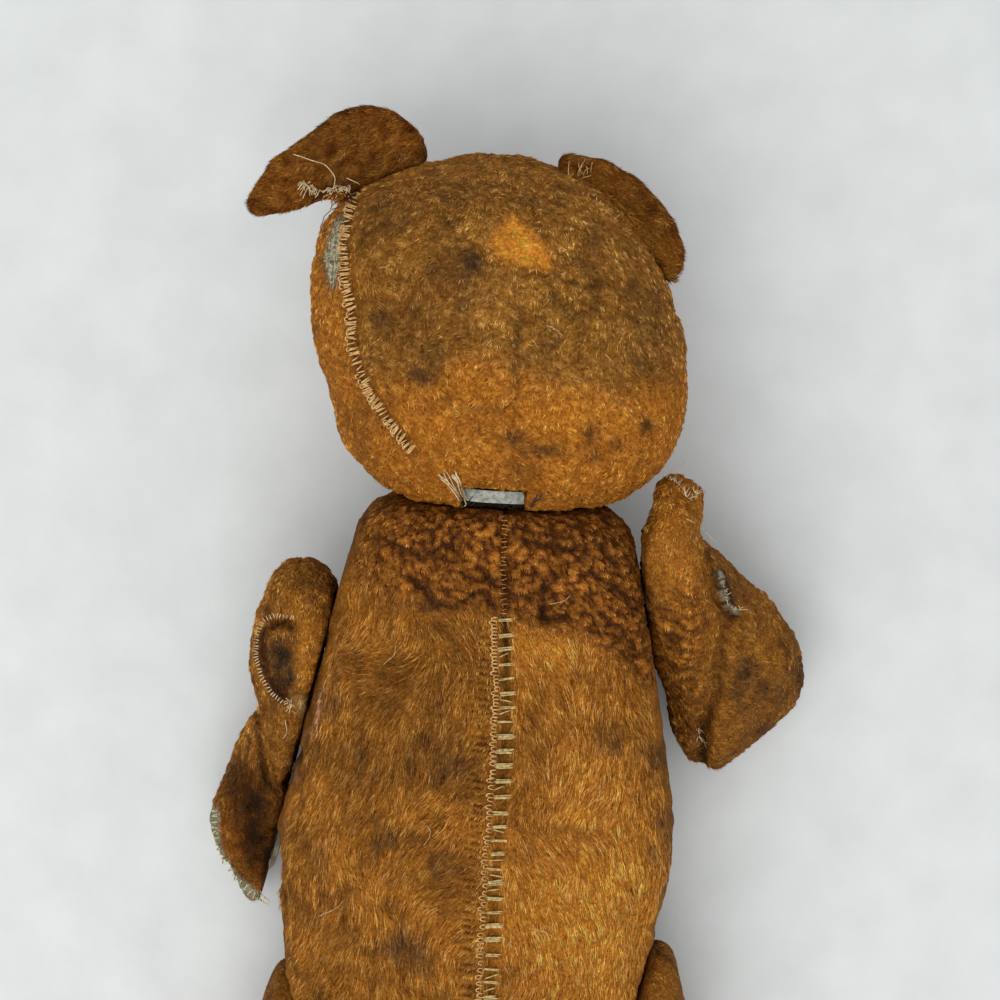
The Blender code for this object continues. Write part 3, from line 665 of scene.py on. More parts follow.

# %% [markdown]
# Over the shoulders the plush has felted into small hard nodules with creases between them. The
# same nodule field shapes the skin, paints shade into its creases and a highlight on its tops, and
# shortens the pile. Left of the mended seam the cloth is gathered into close ribs, with painted shade
# between them.

# %% Shoulders and back seam
RIB_PITCH = 2.9
BAND_EDGE = ((-60, -18), (-50, -27), (-32, -36), (-14, -38), (3, -37), (21, -42), (37, -44), (49, -55),
             (60, -62))
SHOULDER_CREASES = (
    ((-32, -26), (-22, -35), (-14, -36), (-5, -30), (1, -36)), ((-42, -12), (-28, -18), (-17, -12)),
    ((6, -30), (13, -31.5), (20, -27)), ((19, -36), (22, -40)), ((20, -27), (19, -39), (28, -38)),
    ((12, -10), (30, -12)), ((36, -20), (50, -28)), ((-6, -20), (1, -28)), ((38, -8), (46, -16)),
)


def seam_offset(plan):
    """How far right of the centre seam each point lies."""
    return plan[:, 0] - np.interp(-plan[:, 1], [-y for _, y in BACK_SEAM], [x for x, _ in BACK_SEAM])


def seam_ribs(points, plan):
    """Waves of the gathered cloth left of the mended seam, and where they are."""
    waves = np.sin(plan[:, 1] * 2 * math.pi / RIB_PITCH + 2 * lumps(points, 12, 15))
    reach = np.exp(-((seam_offset(plan) + 8.5) / 3.8) ** 2)
    return waves, reach * step_up(-plan[:, 1], -MENDED_FROM, 2)


def shoulder_band(points, plan):
    """1 over the shoulders, fading out raggedly down the back."""
    edge = np.interp(plan[:, 0], *zip(*BAND_EDGE)) + 5 * lumps(points, 16, 5) + 2 * lumps(points, 6, 6)
    return step_up(plan[:, 1], edge, 1.8) * (0.45 + 0.55 * step_up(plan[:, 0], -46, 4))


def shoulder_nodules(points):
    return nodules(points * (0.48, 1.3, 1), 3.4, 7, 0.42)


print("ribs in the mend:", round((MENDED_FROM - BACK_SEAM[-1][1]) / RIB_PITCH))

# %% [markdown]
# The body is brightest where it was hugged, low on the right. The tops of the shoulders' nodules are
# golden. The cloth under the left arm gets painted shade, and so does the line of the mended seam,
# which gapes between its stitches.

# %% Colour of the body


def felted_colour_and_shade(points, plan):
    """Golden tops of nodules with a painted highlight, over creases in painted shade."""
    raised = shoulder_nodules(points)
    golden = 0.3 + 0.8 * lumps(points, 9, 8) + 0.25 * spot(plan, 15, -15, 22, 14)
    # painted shade in the creases between the nodules
    felted = mix_colours(CREASE_SHADE, mix_colours(TAN * 1.05, GOLD * 0.95, golden), raised ** 0.8)
    # painted highlight on the nodules' tops
    return lit(felted, 0.86 + 0.4 * raised ** 2) * (1.04, 0.93, 0.95)


def torso_colour(points, normals):
    plan = on_plan(points)
    back = facing_back(normals)
    bright = spots(plan, (0.75, 42, -150, 32, 44), (0.75, 21, -50, 15, 7))
    colours = coated(body_colour(points, normals), (GOLD * 1.2, bright * back))
    waves, ribbed = seam_ribs(points, plan)
    colours = coated(colours, (colours * 0.72, 0.9 * spot(plan, -38, -75, 34, 40) * back),
                     (felted_colour_and_shade(points, plan), shoulder_band(points, plan) * facing_back(normals, 1.0)))
    # painted shade between the ribs and painted highlight on their ridges
    colours = coated(colours, (lit(colours, 0.88 + 0.62 * waves), ribbed * back))
    # painted shade along the shoulders' creases
    colours = coated(colours, *((CREASE_SHADE, 0.8 * along_line(plan, crease, 1.3) * back)
                                for crease in SHOULDER_CREASES))
    # painted shade in the mended seam's gap, and on the cloth under the left arm's flap
    inside = np.exp(-((seam_offset(plan) - 0.2) / 1.7) ** 2) * back
    seam_gap_shade = np.where(plan[:, 1] < MENDED_FROM, 0.15 + 0.7 * step_up(plan[:, 1], -62, 5), 0.4)
    return coated(colours, (lit(colours, 0.5), step_up(-outside_of(plan, UNDER_FLAP), 0.3, 0.5)),
                  (LINING, 0.8 * along_line(plan, FLAP_EDGE, 0.9)), (CREASE_SHADE * 0.6, inside * seam_gap_shade))


print("creases in the shoulders:", len(SHOULDER_CREASES))

# %% [markdown]
# The arms are a little brighter. The inner half of the right one is crinkled like the shoulders, with
# painted shade in its creases, and a tear on it shows the pale woven backing inside a dark edge. Painted
# shade darkens the arms' folds, the hollows between their nodules and the left paw's underside, whose
# felt edge is pale.

# %% Colour of the arms
# painted shade along each fold: its strength, line and width
ARM_FOLDS = ((0.95, DART, 1.9), (0.85, TAPER, 1.3), (0.75, ARM_CREASE, 1.5))
BARE_SPOT = ((-71, -76), (-69, -79))


def worn_arm(points, plan):
    """Where the inner half of the right arm is crinkled like the shoulders."""
    return step_up(-plan[:, 0], -83, 2) * step_up(-plan[:, 1], 22, 4) * (points[:, 0] > 0)


def arm_wrinkles(points):
    return nodules(points * (1.1, 0.7, 1), 3.3, 12, 0.45)


def arm_nodules(points):
    return nodules(points, 4.2, 13)


def arm_colour(points, normals):
    plan = on_plan(points)
    back = facing_back(normals)
    bright = spots(plan, (1.1, 70, -40, 12, 44), (0.35, -70, -55, 4, 18))
    # painted shade in the creases of the crinkled arm
    creased = 0.9 * worn_arm(points, plan) * (1 - arm_wrinkles(points))
    colours = coated(lit(body_colour(points, normals), 1.15), (GOLD * 1.15, bright * back),
                     (CREASE_SHADE, creased * back))
    # painted shade between the nodules and lighter tops
    colours = lit(colours, 0.74 + 0.4 * arm_nodules(points))
    colours = soiled_and_shaded(colours, points, ARM_STAINS_AND_SHADE, back)
    # painted shade along the folds
    colours = coated(colours, *((CREASE_SHADE * 0.7, strength * along_line(plan, line, width) * back)
                                for strength, line, width in ARM_FOLDS))
    # painted shade on the left paw's underside
    paw = step_up(-outside_of(plan, PAW_INSIDE) + 2 * lumps(points, 5, 17), 0, 2)
    lining = BACKING * (1.6 + 1.2 * lumps(points, 1.1, 11)).clip(0.2)[:, None]
    from_tear = line_distance(plan, TEAR)
    return coated(colours, (lit(colours, 0.42), paw * back),
                  (STRAW * 0.75, 0.8 * along_line(plan, BARE_SPOT, 2.6) * back),
                  (FELT_EDGE, step_up(-line_distance(plan, PAW_EDGE), -2.0, 0.15)),
                  (SOOT_AND_SHADE * 0.2, step_up(-from_tear, -2.2, 0.2) * back),
                  (lining, step_up(-from_tear, -1.0, 0.1) * back))


print("folds in the arms:", len(ARM_FOLDS))

# %% [markdown]
# The crown has faded to grey-brown down to a ragged edge, and below it the head is golden. One patch
# kept its bright pile. Painted shade darkens the pits between the head's small nodules and the groove of
# its mended seam. At the nape the cloth has worn open, and the grey edge of the joint's board shows in
# the gap, above sunken skin in painted shade.

# %% Colour of the head
NAPE_LEFT, NAPE_RIGHT, NAPE_TOP, NAPE_FLOOR = -13.4, 10.4, 14.2, 31.0


def in_nape(points, margin=0.0):
    """Where the cloth is gone over the board's edge."""
    ragged = 0.9 * lumps(points, 3, 25)
    return ((points[:, 0] > NAPE_LEFT + ragged - margin) & (points[:, 0] < NAPE_RIGHT + ragged + margin)
            & (points[:, 1] < NAPE_TOP + ragged + margin) & (points[:, 2] > NAPE_FLOOR - 1))


def head_nodules(points):
    return nodules(points * (0.85, 1.15, 1), 3.7, 24, 0.5)


def on_unworn(points, plan):
    """1 on the patch that something covered, which kept its short bright pile."""
    outside = outside_of(plan, UNWORN_PATCH) + waver(points, (1.3, 3.2, 10), (0.8, 7, 13))
    return step_up(-outside, 0.3, 0.6)


def on_backing(points, plan):
    """1 where the woven backing lies bare beside the head's seam."""
    return step_up(-outside_of(plan, BARE_BACKING) - 0.8 * lumps(points, 2.5, 18), 0, 0.3)


def faded(points, plan):
    """The faded crown's colour, and where it lies."""
    grey = mix_colours(mottled(FADED, points, (0.55, 5, 8), (0.3, 18, 9)), TAN * 0.9,
                       0.5 * spot(plan, -40, 75, 22, 30) + 0.35 * lumps(points, 9, 3))
    edge = np.interp(plan[:, 0], *zip(*FADE_EDGE)) + 3.5 * lumps(points, 12, 7)
    beside_seam = step_up(-plan[:, 0], 58 + 0.12 * (plan[:, 1] - 60), 2.0)
    return grey, step_up(plan[:, 1], edge, 2.6) * (1 - 0.9 * beside_seam)


def head_colour(points, normals):
    plan = on_plan(points)
    back, back_and_sides = facing_back(normals), facing_back(normals, 1.4)
    golden = 0.6 + 0.35 * lumps(points, 8, 26) + 0.5 * spot(plan, 40, 40, 34, 14)
    grey, crown = faded(points, plan)
    colours = coated(body_colour(points, normals), (GOLD * 1.2, golden), (grey, crown * back_and_sides))
    # painted shade in the pits between the nodules, then stains and painted shade in the creases
    colours = soiled_and_shaded(lit(colours, 0.62 + 0.5 * head_nodules(points)), points, HEAD_STAINS_AND_SHADE, back)
    return coated(colours, (mottled(UNWORN, points, (0.5, 2.2, 14)), on_unworn(points, plan) * back),
                  # painted shade in the seam's groove
                  (CREASE_SHADE, 0.6 * along_line(plan, HEAD_SEAM, 2.4) * back),
                  (mottled(BACKING, points, (0.5, 1.5, 19)), on_backing(points, plan) * back_and_sides),
                  # painted shade over the sunken skin in the nape's gap
                  (SOOT_AND_SHADE * 0.4, 1.0 * in_nape(points)))


print("the gap at the nape is", NAPE_RIGHT - NAPE_LEFT, "mm wide")

# %% [markdown]
# The ears are darker and dull, with a lighter hollow in the right one and painted shade in the groove
# where the left one has torn from the head.

# %% Colour of the ears


def ear_colour(points, normals):
    plan = on_plan(points)
    colours = mix_colours(body_colour(points, normals), FADED * 0.8, np.full(len(points), 0.55))
    hollow = 0.7 * along_line(plan, EAR_HOLLOW, 3.5) * facing_back(normals)
    return coated(lit(colours, 0.52 + 0.45 * lumps(points, 4, 16)), (TAN * 1.2, hollow),
                  # painted shade in the groove of the tear
                  (CREASE_SHADE, 0.7 * along_line(plan, EAR_TEAR, 2.5)))


print("hollow of the ear:", len(EAR_HOLLOW), "points")

# %% [markdown]
# The pile has a lie, as if combed. It runs down the body, leans away from the centre seam and is swept
# sideways below the left shoulder. On the head it is matted into swirls. Each function gives a rough
# direction for any point; laid flat on the skin, it also shapes fine locks in the skin itself.

# %% Combing directions


def comb_torso(points, normals):
    plan = on_plan(points)
    off_seam = seam_offset(plan)
    sideways = spot(plan, -38, -62, 26, 14)
    lean = 0.55 * np.tanh(off_seam / 14) * np.exp(-np.abs(off_seam) / 30) * step_up(-plan[:, 1], 70, 8)
    return np.stack([lean + 1.1 * lumps(points, 38, 51) + 0.5 * lumps(points, 14, 52) - 1.2 * sideways,
                     -0.95 + 0.7 * lumps(points, 34, 53) + 0.6 * sideways,
                     0.2 * lumps(points, 9, 54)], 1)


def comb_head(points, normals):
    return np.stack([waver(points, (0.9, 24, 55), (0.6, 8, 49)) + 0.4 * points[:, 0] / 60,
                     -0.55 + waver(points, (0.8, 20, 56), (0.6, 8, 50)),
                     0.3 * lumps(points, 9, 57)], 1)


def comb_limb(points, normals):
    """Down the limb, and fanning outwards over the right paw."""
    fan = step_up(points[:, 0], 86, 3) * (points[:, 1] > -115)
    return np.stack([0.8 * lumps(points, 20, 58) + 0.9 * fan,
                     -0.8 + 0.4 * lumps(points, 18, 59) + 0.25 * fan,
                     0.2 * lumps(points, 9, 60)], 1)


def comb_ear(points, normals):
    return np.stack([np.sign(points[:, 0]) * 0.8 + 0.5 * lumps(points, 12, 61),
                     -0.3 + 0.5 * lumps(points, 10, 62), 0.2 * lumps(points, 9, 63)], 1)


print("combed on the back:", comb_torso(np.array([[0.0, -90, 50]]), None).round(2)[0])

# %% [markdown]
# The skin's own material shows between the tufts. It takes the stored colour, darkened as painted shade
# deep in the pile, and a fine fibrous bump.

# %% Plush material


def plush_material(name, dark, light):
    """Stored colour, varied over a millimetre, on a rough surface with almost no gloss."""
    made, tree, shader = new_material(name, 0.7)
    shader.inputs["Specular IOR Level"].default_value = 0.05
    stored = add_node(tree, "ShaderNodeAttribute", attribute_name="Tint").outputs["Color"]
    fine = spread(tree, grain(tree, 0.0011, 3.0), 0.3, 0.7)
    variety = blended(tree, fine, (dark,) * 3 + (1,), (light,) * 3 + (1,))
    tree.links.new(blended(tree, 1.0, stored, variety, "MULTIPLY"), shader.inputs["Base Color"])
    return made, tree, shader


# the backing shows at a quarter to two thirds of its colour, as painted shade under the pile
skin_finish, tree, shader = plush_material("shaded plush backing", 0.25, 0.62)
roughen(tree, shader, grain(tree, 0.0009, 4.0), 0.0009)
pile_finish = plush_material("plush pile", 0.75, 1.25)[0]
print("two plush finishes")

# %% [markdown]
# A finished skin becomes a padded piece. It stores its colours, rides on its body and stands for the
# panels and the filling that it covers.

# %% Finished pieces


def new_piece(name, data, body, finish=None):
    """An object for a finished mesh that rides on a body."""
    made = bpy.data.objects.new(name, data)
    bpy.context.scene.collection.objects.link(made)
    if finish:
        data.materials.append(finish)
    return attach(made, body)


def store_colour(mesh, colours):
    layer = mesh.color_attributes.new("Tint", "FLOAT_COLOR", "POINT")
    rows = np.hstack([np.clip(colours, 0, 1), np.ones((len(colours), 1))])
    layer.data.foreach_set("color", rows.astype(np.float32).ravel())


def finish_skin(name, skin, body, colour, fill, *nodes):
    """The padded piece itself, which stands for its panels and their filling."""
    colours = colour(*skin_rows(skin))
    mesh = bpy.data.meshes.new(name)
    skin.to_mesh(mesh)
    skin.free()
    mesh.shade_smooth()
    store_colour(mesh, colours)
    made = new_piece(name, mesh, body, skin_finish)
    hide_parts(*nodes)
    return made


print("a skin's colours are stored at its points")

# %% [markdown]
# ## The body
# The back is nearly flat where the bear was hugged. The centre seam was resewn by hand, so it sinks
# between two soft ridges, and close ribs run off to its left where the overcast thread gathers the
# cloth.

# %% Body skin
SIDE_FOLDS = (((-79, -127), (-76, -136), (-76, -144)), ((-73, -92), (-69, -100), (-70, -108)),
              ((76, -136), (73, -145), (70, -154)))


def shape_torso(points, normals):
    plan = on_plan(points)
    back = facing_back(normals)
    off_seam = seam_offset(plan) - 0.6
    mended = step_up(-plan[:, 1], -MENDED_FROM, 2)
    groove = -1.8 * np.exp(-(off_seam / 2.0) ** 2) + 0.9 * np.exp(-((np.abs(off_seam) - 7) / 3.5) ** 2)
    unmended = (1 - mended) * 1.8 * np.exp(-(off_seam / 1.3) ** 2)
    waves, ribbed = seam_ribs(points, plan)
    band = shoulder_band(points, plan) * facing_back(normals, 1.0)
    hollows = spots(plan, (1, -26, -168, 7, 5), (0.8, 37, -118, 14, 3), (0.7, 49, -83, 7, 5),
                    (0.8, -14, -98, 14, 12), (0.6, -40, -38, 22, 4))
    step = back * (mended * groove + 0.8 * waves * ribbed - unmended)
    step += band * (2.3 * shoulder_nodules(points) ** 0.6 - 1.8)
    step -= back * grooves(plan, *((1.8, crease, 1.6) for crease in SHOULDER_CREASES))
    step -= 2.0 * step_up(-outside_of(plan, UNDER_FLAP), 0.6, 0.8)
    step -= facing_back(normals, 1.2) * grooves(plan, *((2.6, fold, 1.8) for fold in SIDE_FOLDS))
    step += waver(points, (1.3, 34, 12), (1.1, 13, 13), (0.8, 6, 14))
    step += 0.45 * locks(points, lying(comb_torso(points, normals), normals)) * (1 - band)
    return step - 1.8 * back * hollows - 0.5


torso_nodes = ("torso_cover_left", "torso_cover_right", "torso_stuffing")
skin = draw_in(torso_nodes, (-1, 4, 0), (-2, -231, -1), 62, 320, 240, 0.42)
melt(skin, 60)
sculpt(skin, "torso", shape_torso)
torso = finish_skin("torso_padded", skin, "torso", torso_colour, 0.9, *torso_nodes)

# %% [markdown]
# ## The head
# The head is a stuffed ball with a short muzzle below. A seam that was mended with close stitches runs
# down its left side, and a few creases cross the back. They could be sculpted by hand, but fields keep
# each crease just where its painted shade and its thread are.

# %% Head skin
HEAD_CREASES = ((-0.8, ((5, 81), (5, 60), (7, 34), (8.6, 17)), 1.8),
                (-1.3, ((12, 29), (24, 31), (31, 27)), 1.8), (-1.2, ((34, 32), (38, 24)), 1.8),
                (-1.2, ((56, 38), (60, 30)), 1.8), (-0.8, ((-34, 50), (-24, 54)), 1.8))


def shape_head(points, normals):
    plan = on_plan(points)
    back = facing_back(normals)
    step = back * (grooves(plan, (-1.9, HEAD_SEAM, 2.4), *HEAD_CREASES) - 0.8 * on_unworn(points, plan))
    step += 0.9 * (head_nodules(points) - 0.6)
    step += 0.4 * locks(points, lying(comb_head(points, normals), normals))
    return step + waver(points, (1.2, 36, 21), (0.8, 12, 22), (0.5, 5.5, 23)) - 0.4


def open_nape(skin):
    """Sinks the skin to below the edge of the joint's board."""
    points, _ = skin_rows(skin)
    inside = in_nape(points)
    for vertex, row, sink in zip(skin.verts, points, inside):
        if sink:
            vertex.co = place(row[0], row[1], NAPE_FLOOR)
    print(int(inside.sum()), "vertices sunk at the nape")


head_nodes = ("head_gusset", "head_side_left", "head_side_right", "head_stuffing")
face_nodes = ("eye_left", "eye_right", "nose_stitching", "mouth_stitching")
skin = draw_in(head_nodes, (0, 7, 0), (-8, 135, 2), 48, 280, 190, 0.42)
melt(skin, 34)
sculpt(skin, "head", shape_head, face_nodes)
open_nape(skin)
head = finish_skin("head_padded", skin, "head", head_colour, 0.9, *head_nodes)

# %% [markdown]
# ## Arms and legs
# The left arm has an old dart that was stitched round and has sunk into a hollow. The right arm lies with
# its paw turned out, and folds along a crease between the two. The legs are plain. As on the head, each
# dent and fold is one row of a sum, so it can be moved or made deeper by itself.

# %% Shapes of the arms and legs
TAPER_INSIDE = [(-70, -80), (-68, -90), (-72, -104), (-78, -109), (-84, -97), (-86, -80)]
ARM_RIDGE = ((74, 2), (74, -30), (77, -66))
PAW_FOLD = ((84, -74), (82, -84), (82, -92))


def shape_arm_left(points, normals):
    plan = on_plan(points)
    back = facing_back(normals)
    step = back * grooves(plan, (-5.0, DART, 2.3), (-3.4, TAPER, 1.6))
    step += back * spots(plan, (-6.0, -78, -61, 4, 8), (2.6, -83, -57, 3, 7), (2.0, -69, -60, 3.5, 10),
                         (-2.0, -85, -126, 6, 14))
    step += 2.2 * back * step_up(-outside_of(plan, TAPER_INSIDE), 0, 1)
    step += spots(plan, (6.0, -79, -150, 10, 10), (2.0, -102, -124, 6, 14), (4.0, -72, -140, 6, 14))
    step += 1.0 * (arm_nodules(points) - 0.6)
    return step + waver(points, (1.2, 17, 31), (0.7, 6, 32)) - 0.3


def shape_arm_right(points, normals):
    plan = on_plan(points)
    back = facing_back(normals)
    wrinkled = worn_arm(points, plan) * back
    step = back * grooves(plan, (-4.5, ARM_CREASE, 2.4), (-3.5, TEAR, 1.6), (2.0, ARM_RIDGE, 6),
                          (-3.0, PAW_FOLD, 2.5))
    step += spots(plan, (5.0, 118, -60, 12, 18), (-3.0, 54, -4, 6, 12), (4.0, 59, 15, 5, 5),
                  (3.0, 77, 13, 4, 5), (-5.0, 84, -1, 6, 7))
    step += wrinkled * (2.0 * arm_wrinkles(points) ** 0.6 - 1.5)
    step += 1.0 * (arm_nodules(points) - 0.6) * (1 - wrinkled)
    return step + waver(points, (1.2, 17, 33), (0.7, 6, 34)) - 0.3


def shape_leg(points, normals):
    return waver(points, (1.3, 20, 35), (0.6, 7, 36)) - 0.5


print("the left arm is shaped by its dart and taper, the right one by its crease and tear")

# %% [markdown]
# A limb is a stuffed tube, so one capsule each will do, and all four are made in one loop. Each row gives
# a limb's name and side, the two ends and the radius of its capsule in millimetres, its shape, its colour
# and its felt pad.

# %% Arm and leg skins


def limb_nodes(limb, side):
    return tuple(f"{limb}_{side}_{piece}" for piece in ("outer", "inner", "stuffing"))


LIMBS = (
    ("arm", "left", (-74, -22, 4), (-86, -168, -36), 17, shape_arm_left, arm_colour, "paw_pad"),
    ("arm", "right", (69, 18, 2), (92, -104, -38), 17, shape_arm_right, arm_colour, "paw_pad"),
    ("leg", "left", (-71, -187, -1), (-73, -372, 3), 15, shape_leg, body_colour, "foot_pad"),
    ("leg", "right", (72, -172, -1), (74, -357, 3), 15, shape_leg, body_colour, "foot_pad"),
)
limbs = {}
for limb, side, start, end, radius, shape, colour, pad in LIMBS:
    name = f"{limb}_{side}"
    skin = draw_in(limb_nodes(limb, side), start, end, radius, 120, 130)
    melt(skin, 10)
    sculpt(skin, name, shape, (f"{pad}_{side}",))
    limbs[name] = finish_skin(f"{name}_padded", skin, name, colour, 0.85, *limb_nodes(limb, side))

# %% [markdown]
# ## Ears
# An ear is two layers of plush turned inside out, so it is thick at its rounded rim. The left one is
# half torn off and flops outwards, and the right one cups towards the crown. A capsule that is drawn in
# from the side gives the flat shape and the closed rim at once.

# %% Ear skins


def shape_ear(points, normals):
    plan = on_plan(points)
    back = facing_back(normals)
    step = back * grooves(plan, (-3.0, EAR_HOLLOW, 4.0), (-2.0, EAR_TEAR, 3))
    return step + 0.9 + waver(points, (0.7, 12, 41), (0.4, 5, 42))


EARS = (("left", (-42, 135, 4), (-98, 112, 4)), ("right", (16, 131, 4), (62, 95, 4)))
for side, start, end in EARS:
    skin = draw_in((f"ear_{side}",), start, end, 9, 90, 70)
    melt(skin, 5)
    sculpt(skin, "head", shape_ear)
    limbs[f"ear_{side}"] = finish_skin(f"ear_{side}_padded", skin, "head", ear_colour, 0.5, f"ear_{side}")

# %% [markdown]
# ## The pile
# Mohair plush is a woven backing with millions of fibres. What the eye sees is their tufts: flat,
# matted and about 3 mm long. Blender's hair would vanish from an exported mesh, so each tuft is a tiny
# closed spike of four faces, laid along a combing direction. Tens of thousands of them are placed
# at once as arrays. Each tuft takes its colour from the skin's function, with painted shade at its root.

# %% One tuft
tuft_skin = bmesh.new()
bmesh.ops.create_cone(tuft_skin, cap_ends=True, segments=3, radius1=0.5, radius2=0.0, depth=1.0)
bmesh.ops.remove_doubles(tuft_skin, verts=tuft_skin.verts, dist=0.001)
bmesh.ops.triangulate(tuft_skin, faces=tuft_skin.faces)
bmesh.ops.translate(tuft_skin, verts=tuft_skin.verts, vec=(0, 0, 0.5))
tuft_skin.verts.ensure_lookup_table()
TUFT_POINTS = np.array([vertex.co for vertex in tuft_skin.verts])
TUFT_FACES = np.array([[vertex.index for vertex in face.verts] for face in tuft_skin.faces])
tuft_skin.free()
print("a tuft has", len(TUFT_POINTS), "points and", len(TUFT_FACES), "faces")

# %% [markdown]
# Places for the tufts are drawn at random over the skin's triangles, more often where a density field
# asks for more. Each place also remembers its triangle's edges in space and in the texture, so a tuft
# can be given texture places that lie on the skin below it.

# %% Sampling the skin


def mesh_rows(collection, name, size, kind=np.float32):
    """One property of all a mesh's parts, as rows of numbers."""
    rows = np.empty(len(collection) * size, kind)
    collection.foreach_get(name, rows)
    return rows.reshape(-1, size)


def in_order(corners, loops):
    """Triangles sorted by their vertices, because the sphere's faces come in another order each run."""
    turned = (corners.argmin(1)[:, None] + np.arange(3)) % 3
    corners, loops = np.take_along_axis(corners, turned, 1), np.take_along_axis(loops, turned, 1)
    order = np.lexsort(corners.T[::-1])
    return corners[order], loops[order]


def sample_skin(mesh, count, keep, rng):
    """Random places on a mesh, each with its normal, texture place and triangle."""
    mesh.calc_loop_triangles()
    corners, loops = in_order(mesh_rows(mesh.loop_triangles, "vertices", 3, np.int32),
                              mesh_rows(mesh.loop_triangles, "loops", 3, np.int32))
    points = mesh_rows(mesh.vertices, "co", 3)
    normals = mesh_rows(mesh.vertex_normals, "vector", 3)
    uvs = mesh_rows(mesh.uv_layers["OFBake"].data, "uv", 2)
    sides = points[corners[:, 1:]] - points[corners[:, :1]]
    area = np.linalg.norm(np.cross(sides[:, 0], sides[:, 1]), axis=1)
    weight = area * keep(in_bear(points[corners].mean(1)), normals[corners].mean(1) @ TURN)
    picked = rng.choice(len(corners), size=count, p=weight / weight.sum())
    share = rng.dirichlet((1, 1, 1), count)[:, :, None]
    normal = (normals[corners[picked]] * share).sum(1)
    normal /= np.linalg.norm(normal, axis=1)[:, None]
    uv_sides = uvs[loops[picked, 1:]] - uvs[loops[picked, :1]]
    return ((points[corners[picked]] * share).sum(1), normal,
            (uvs[loops[picked]] * share).sum(1), sides[picked], uv_sides)


def uv_steps(steps, sides, uv_sides):
    """The texture step of each small step over the surface."""
    aa, ab, bb = [(sides[:, i] * sides[:, j]).sum(1)[:, None] for i, j in ((0, 0), (0, 1), (1, 1))]
    whole = aa * bb - ab * ab + 1e-18
    sa, sb = np.einsum("nkc,nc->nk", steps, sides[:, 0]), np.einsum("nkc,nc->nk", steps, sides[:, 1])
    a, b = (bb * sa - ab * sb) / whole, (aa * sb - ab * sa) / whole
    return a[:, :, None] * uv_sides[:, None, 0] + b[:, :, None] * uv_sides[:, None, 1]


# %% [markdown]
# A tuft's direction is the combing direction of its part, bent by clump noise so that neighbouring
# tufts lie together, and by a little chance. All tufts of a piece are turned and sized at once, and go
# into one mesh.

# %% Tufts as a mesh
ROOT_DEPTH = 0.25  # millimetres below the skin


def tuft_corners(at, normal, lie, rise, long, wide):
    """The corners of every tuft, which lies along its own direction and rises by an angle."""
    ahead = lie * np.cos(rise) + normal * np.sin(rise)
    across = np.cross(normal, lie)
    above = np.cross(ahead, across)
    root = (at - normal * ROOT_DEPTH * MM)[:, None, :]
    return (root + TUFT_POINTS[None, :, 0:1] * across[:, None, :] * wide
            + TUFT_POINTS[None, :, 1:2] * above[:, None, :] * wide * 0.6
            + TUFT_POINTS[None, :, 2:3] * ahead[:, None, :] * long)


def tuft_mesh(name, corners, corner_uv):
    """One mesh of tufts, from rows of their corners in space and in the texture."""
    count = len(corners) // len(TUFT_POINTS)
    mesh = bpy.data.meshes.new(name)
    mesh.vertices.add(len(corners))
    mesh.vertices.foreach_set("co", corners.astype(np.float32).ravel())
    faces = (TUFT_FACES[None] + len(TUFT_POINTS) * np.arange(count)[:, None, None]).astype(np.int32)
    mesh.loops.add(faces.size)
    mesh.loops.foreach_set("vertex_index", faces.ravel())
    mesh.polygons.add(count * len(TUFT_FACES))
    mesh.polygons.foreach_set("loop_start", np.arange(0, faces.size, 3, dtype=np.int32))
    mesh.update(calc_edges=True)
    mesh.uv_layers.new(name="OFBake").data.foreach_set(
        "uv", corner_uv[faces.ravel()].astype(np.float32).ravel())
    return mesh


print("roots are", ROOT_DEPTH, "mm deep")

# %% [markdown]
# A tuft is painted dark at its root and light at its tip, as shade and highlight. Locks of hair get
# painted light and shade together, hairs that lie along the body are painted lighter as a sheen, a few
# are dull and a few are pale like straw, as bleached hairs and painted glints.

# %% Growing pile
# pale straw tufts stand for bleached hairs and for painted glints
BLEACHED_AND_GLINTING = 0.08  # the share of tufts that are like straw
DULL = 0.15


def tuft_colours(shade, lie, lock, scatter, tips, rng):
    """A colour for each corner of each tuft, from its place's colour."""
    count = len(shade)
    shade = mix_colours(shade, STRAW * shade.mean(1)[:, None] * 2.2, 0.5 * (rng.random(count) < BLEACHED_AND_GLINTING))
    # painted light and shade that follow the locks
    shine = (1.08 + scatter * rng.normal(0, 1, count).clip(-2, 2.2)) * (1 + 0.8 * lock.clip(-0.9, 1.1))
    # painted sheen on hairs that lie along the body
    shine *= (0.84 + 0.26 * np.abs(lie[:, 1])) * np.where(rng.random(count) < DULL, 0.35, 1)
    # painted shade at the root and painted highlight at the tip
    along = shine[:, None] * (0.92 + tips * (TUFT_POINTS[:, 2] - 0.5))
    return lit(shade[:, None, :], along).reshape(-1, 3)


def full_length(points, normals):
    """Pile that is nowhere worn short."""
    return np.ones(len(points))


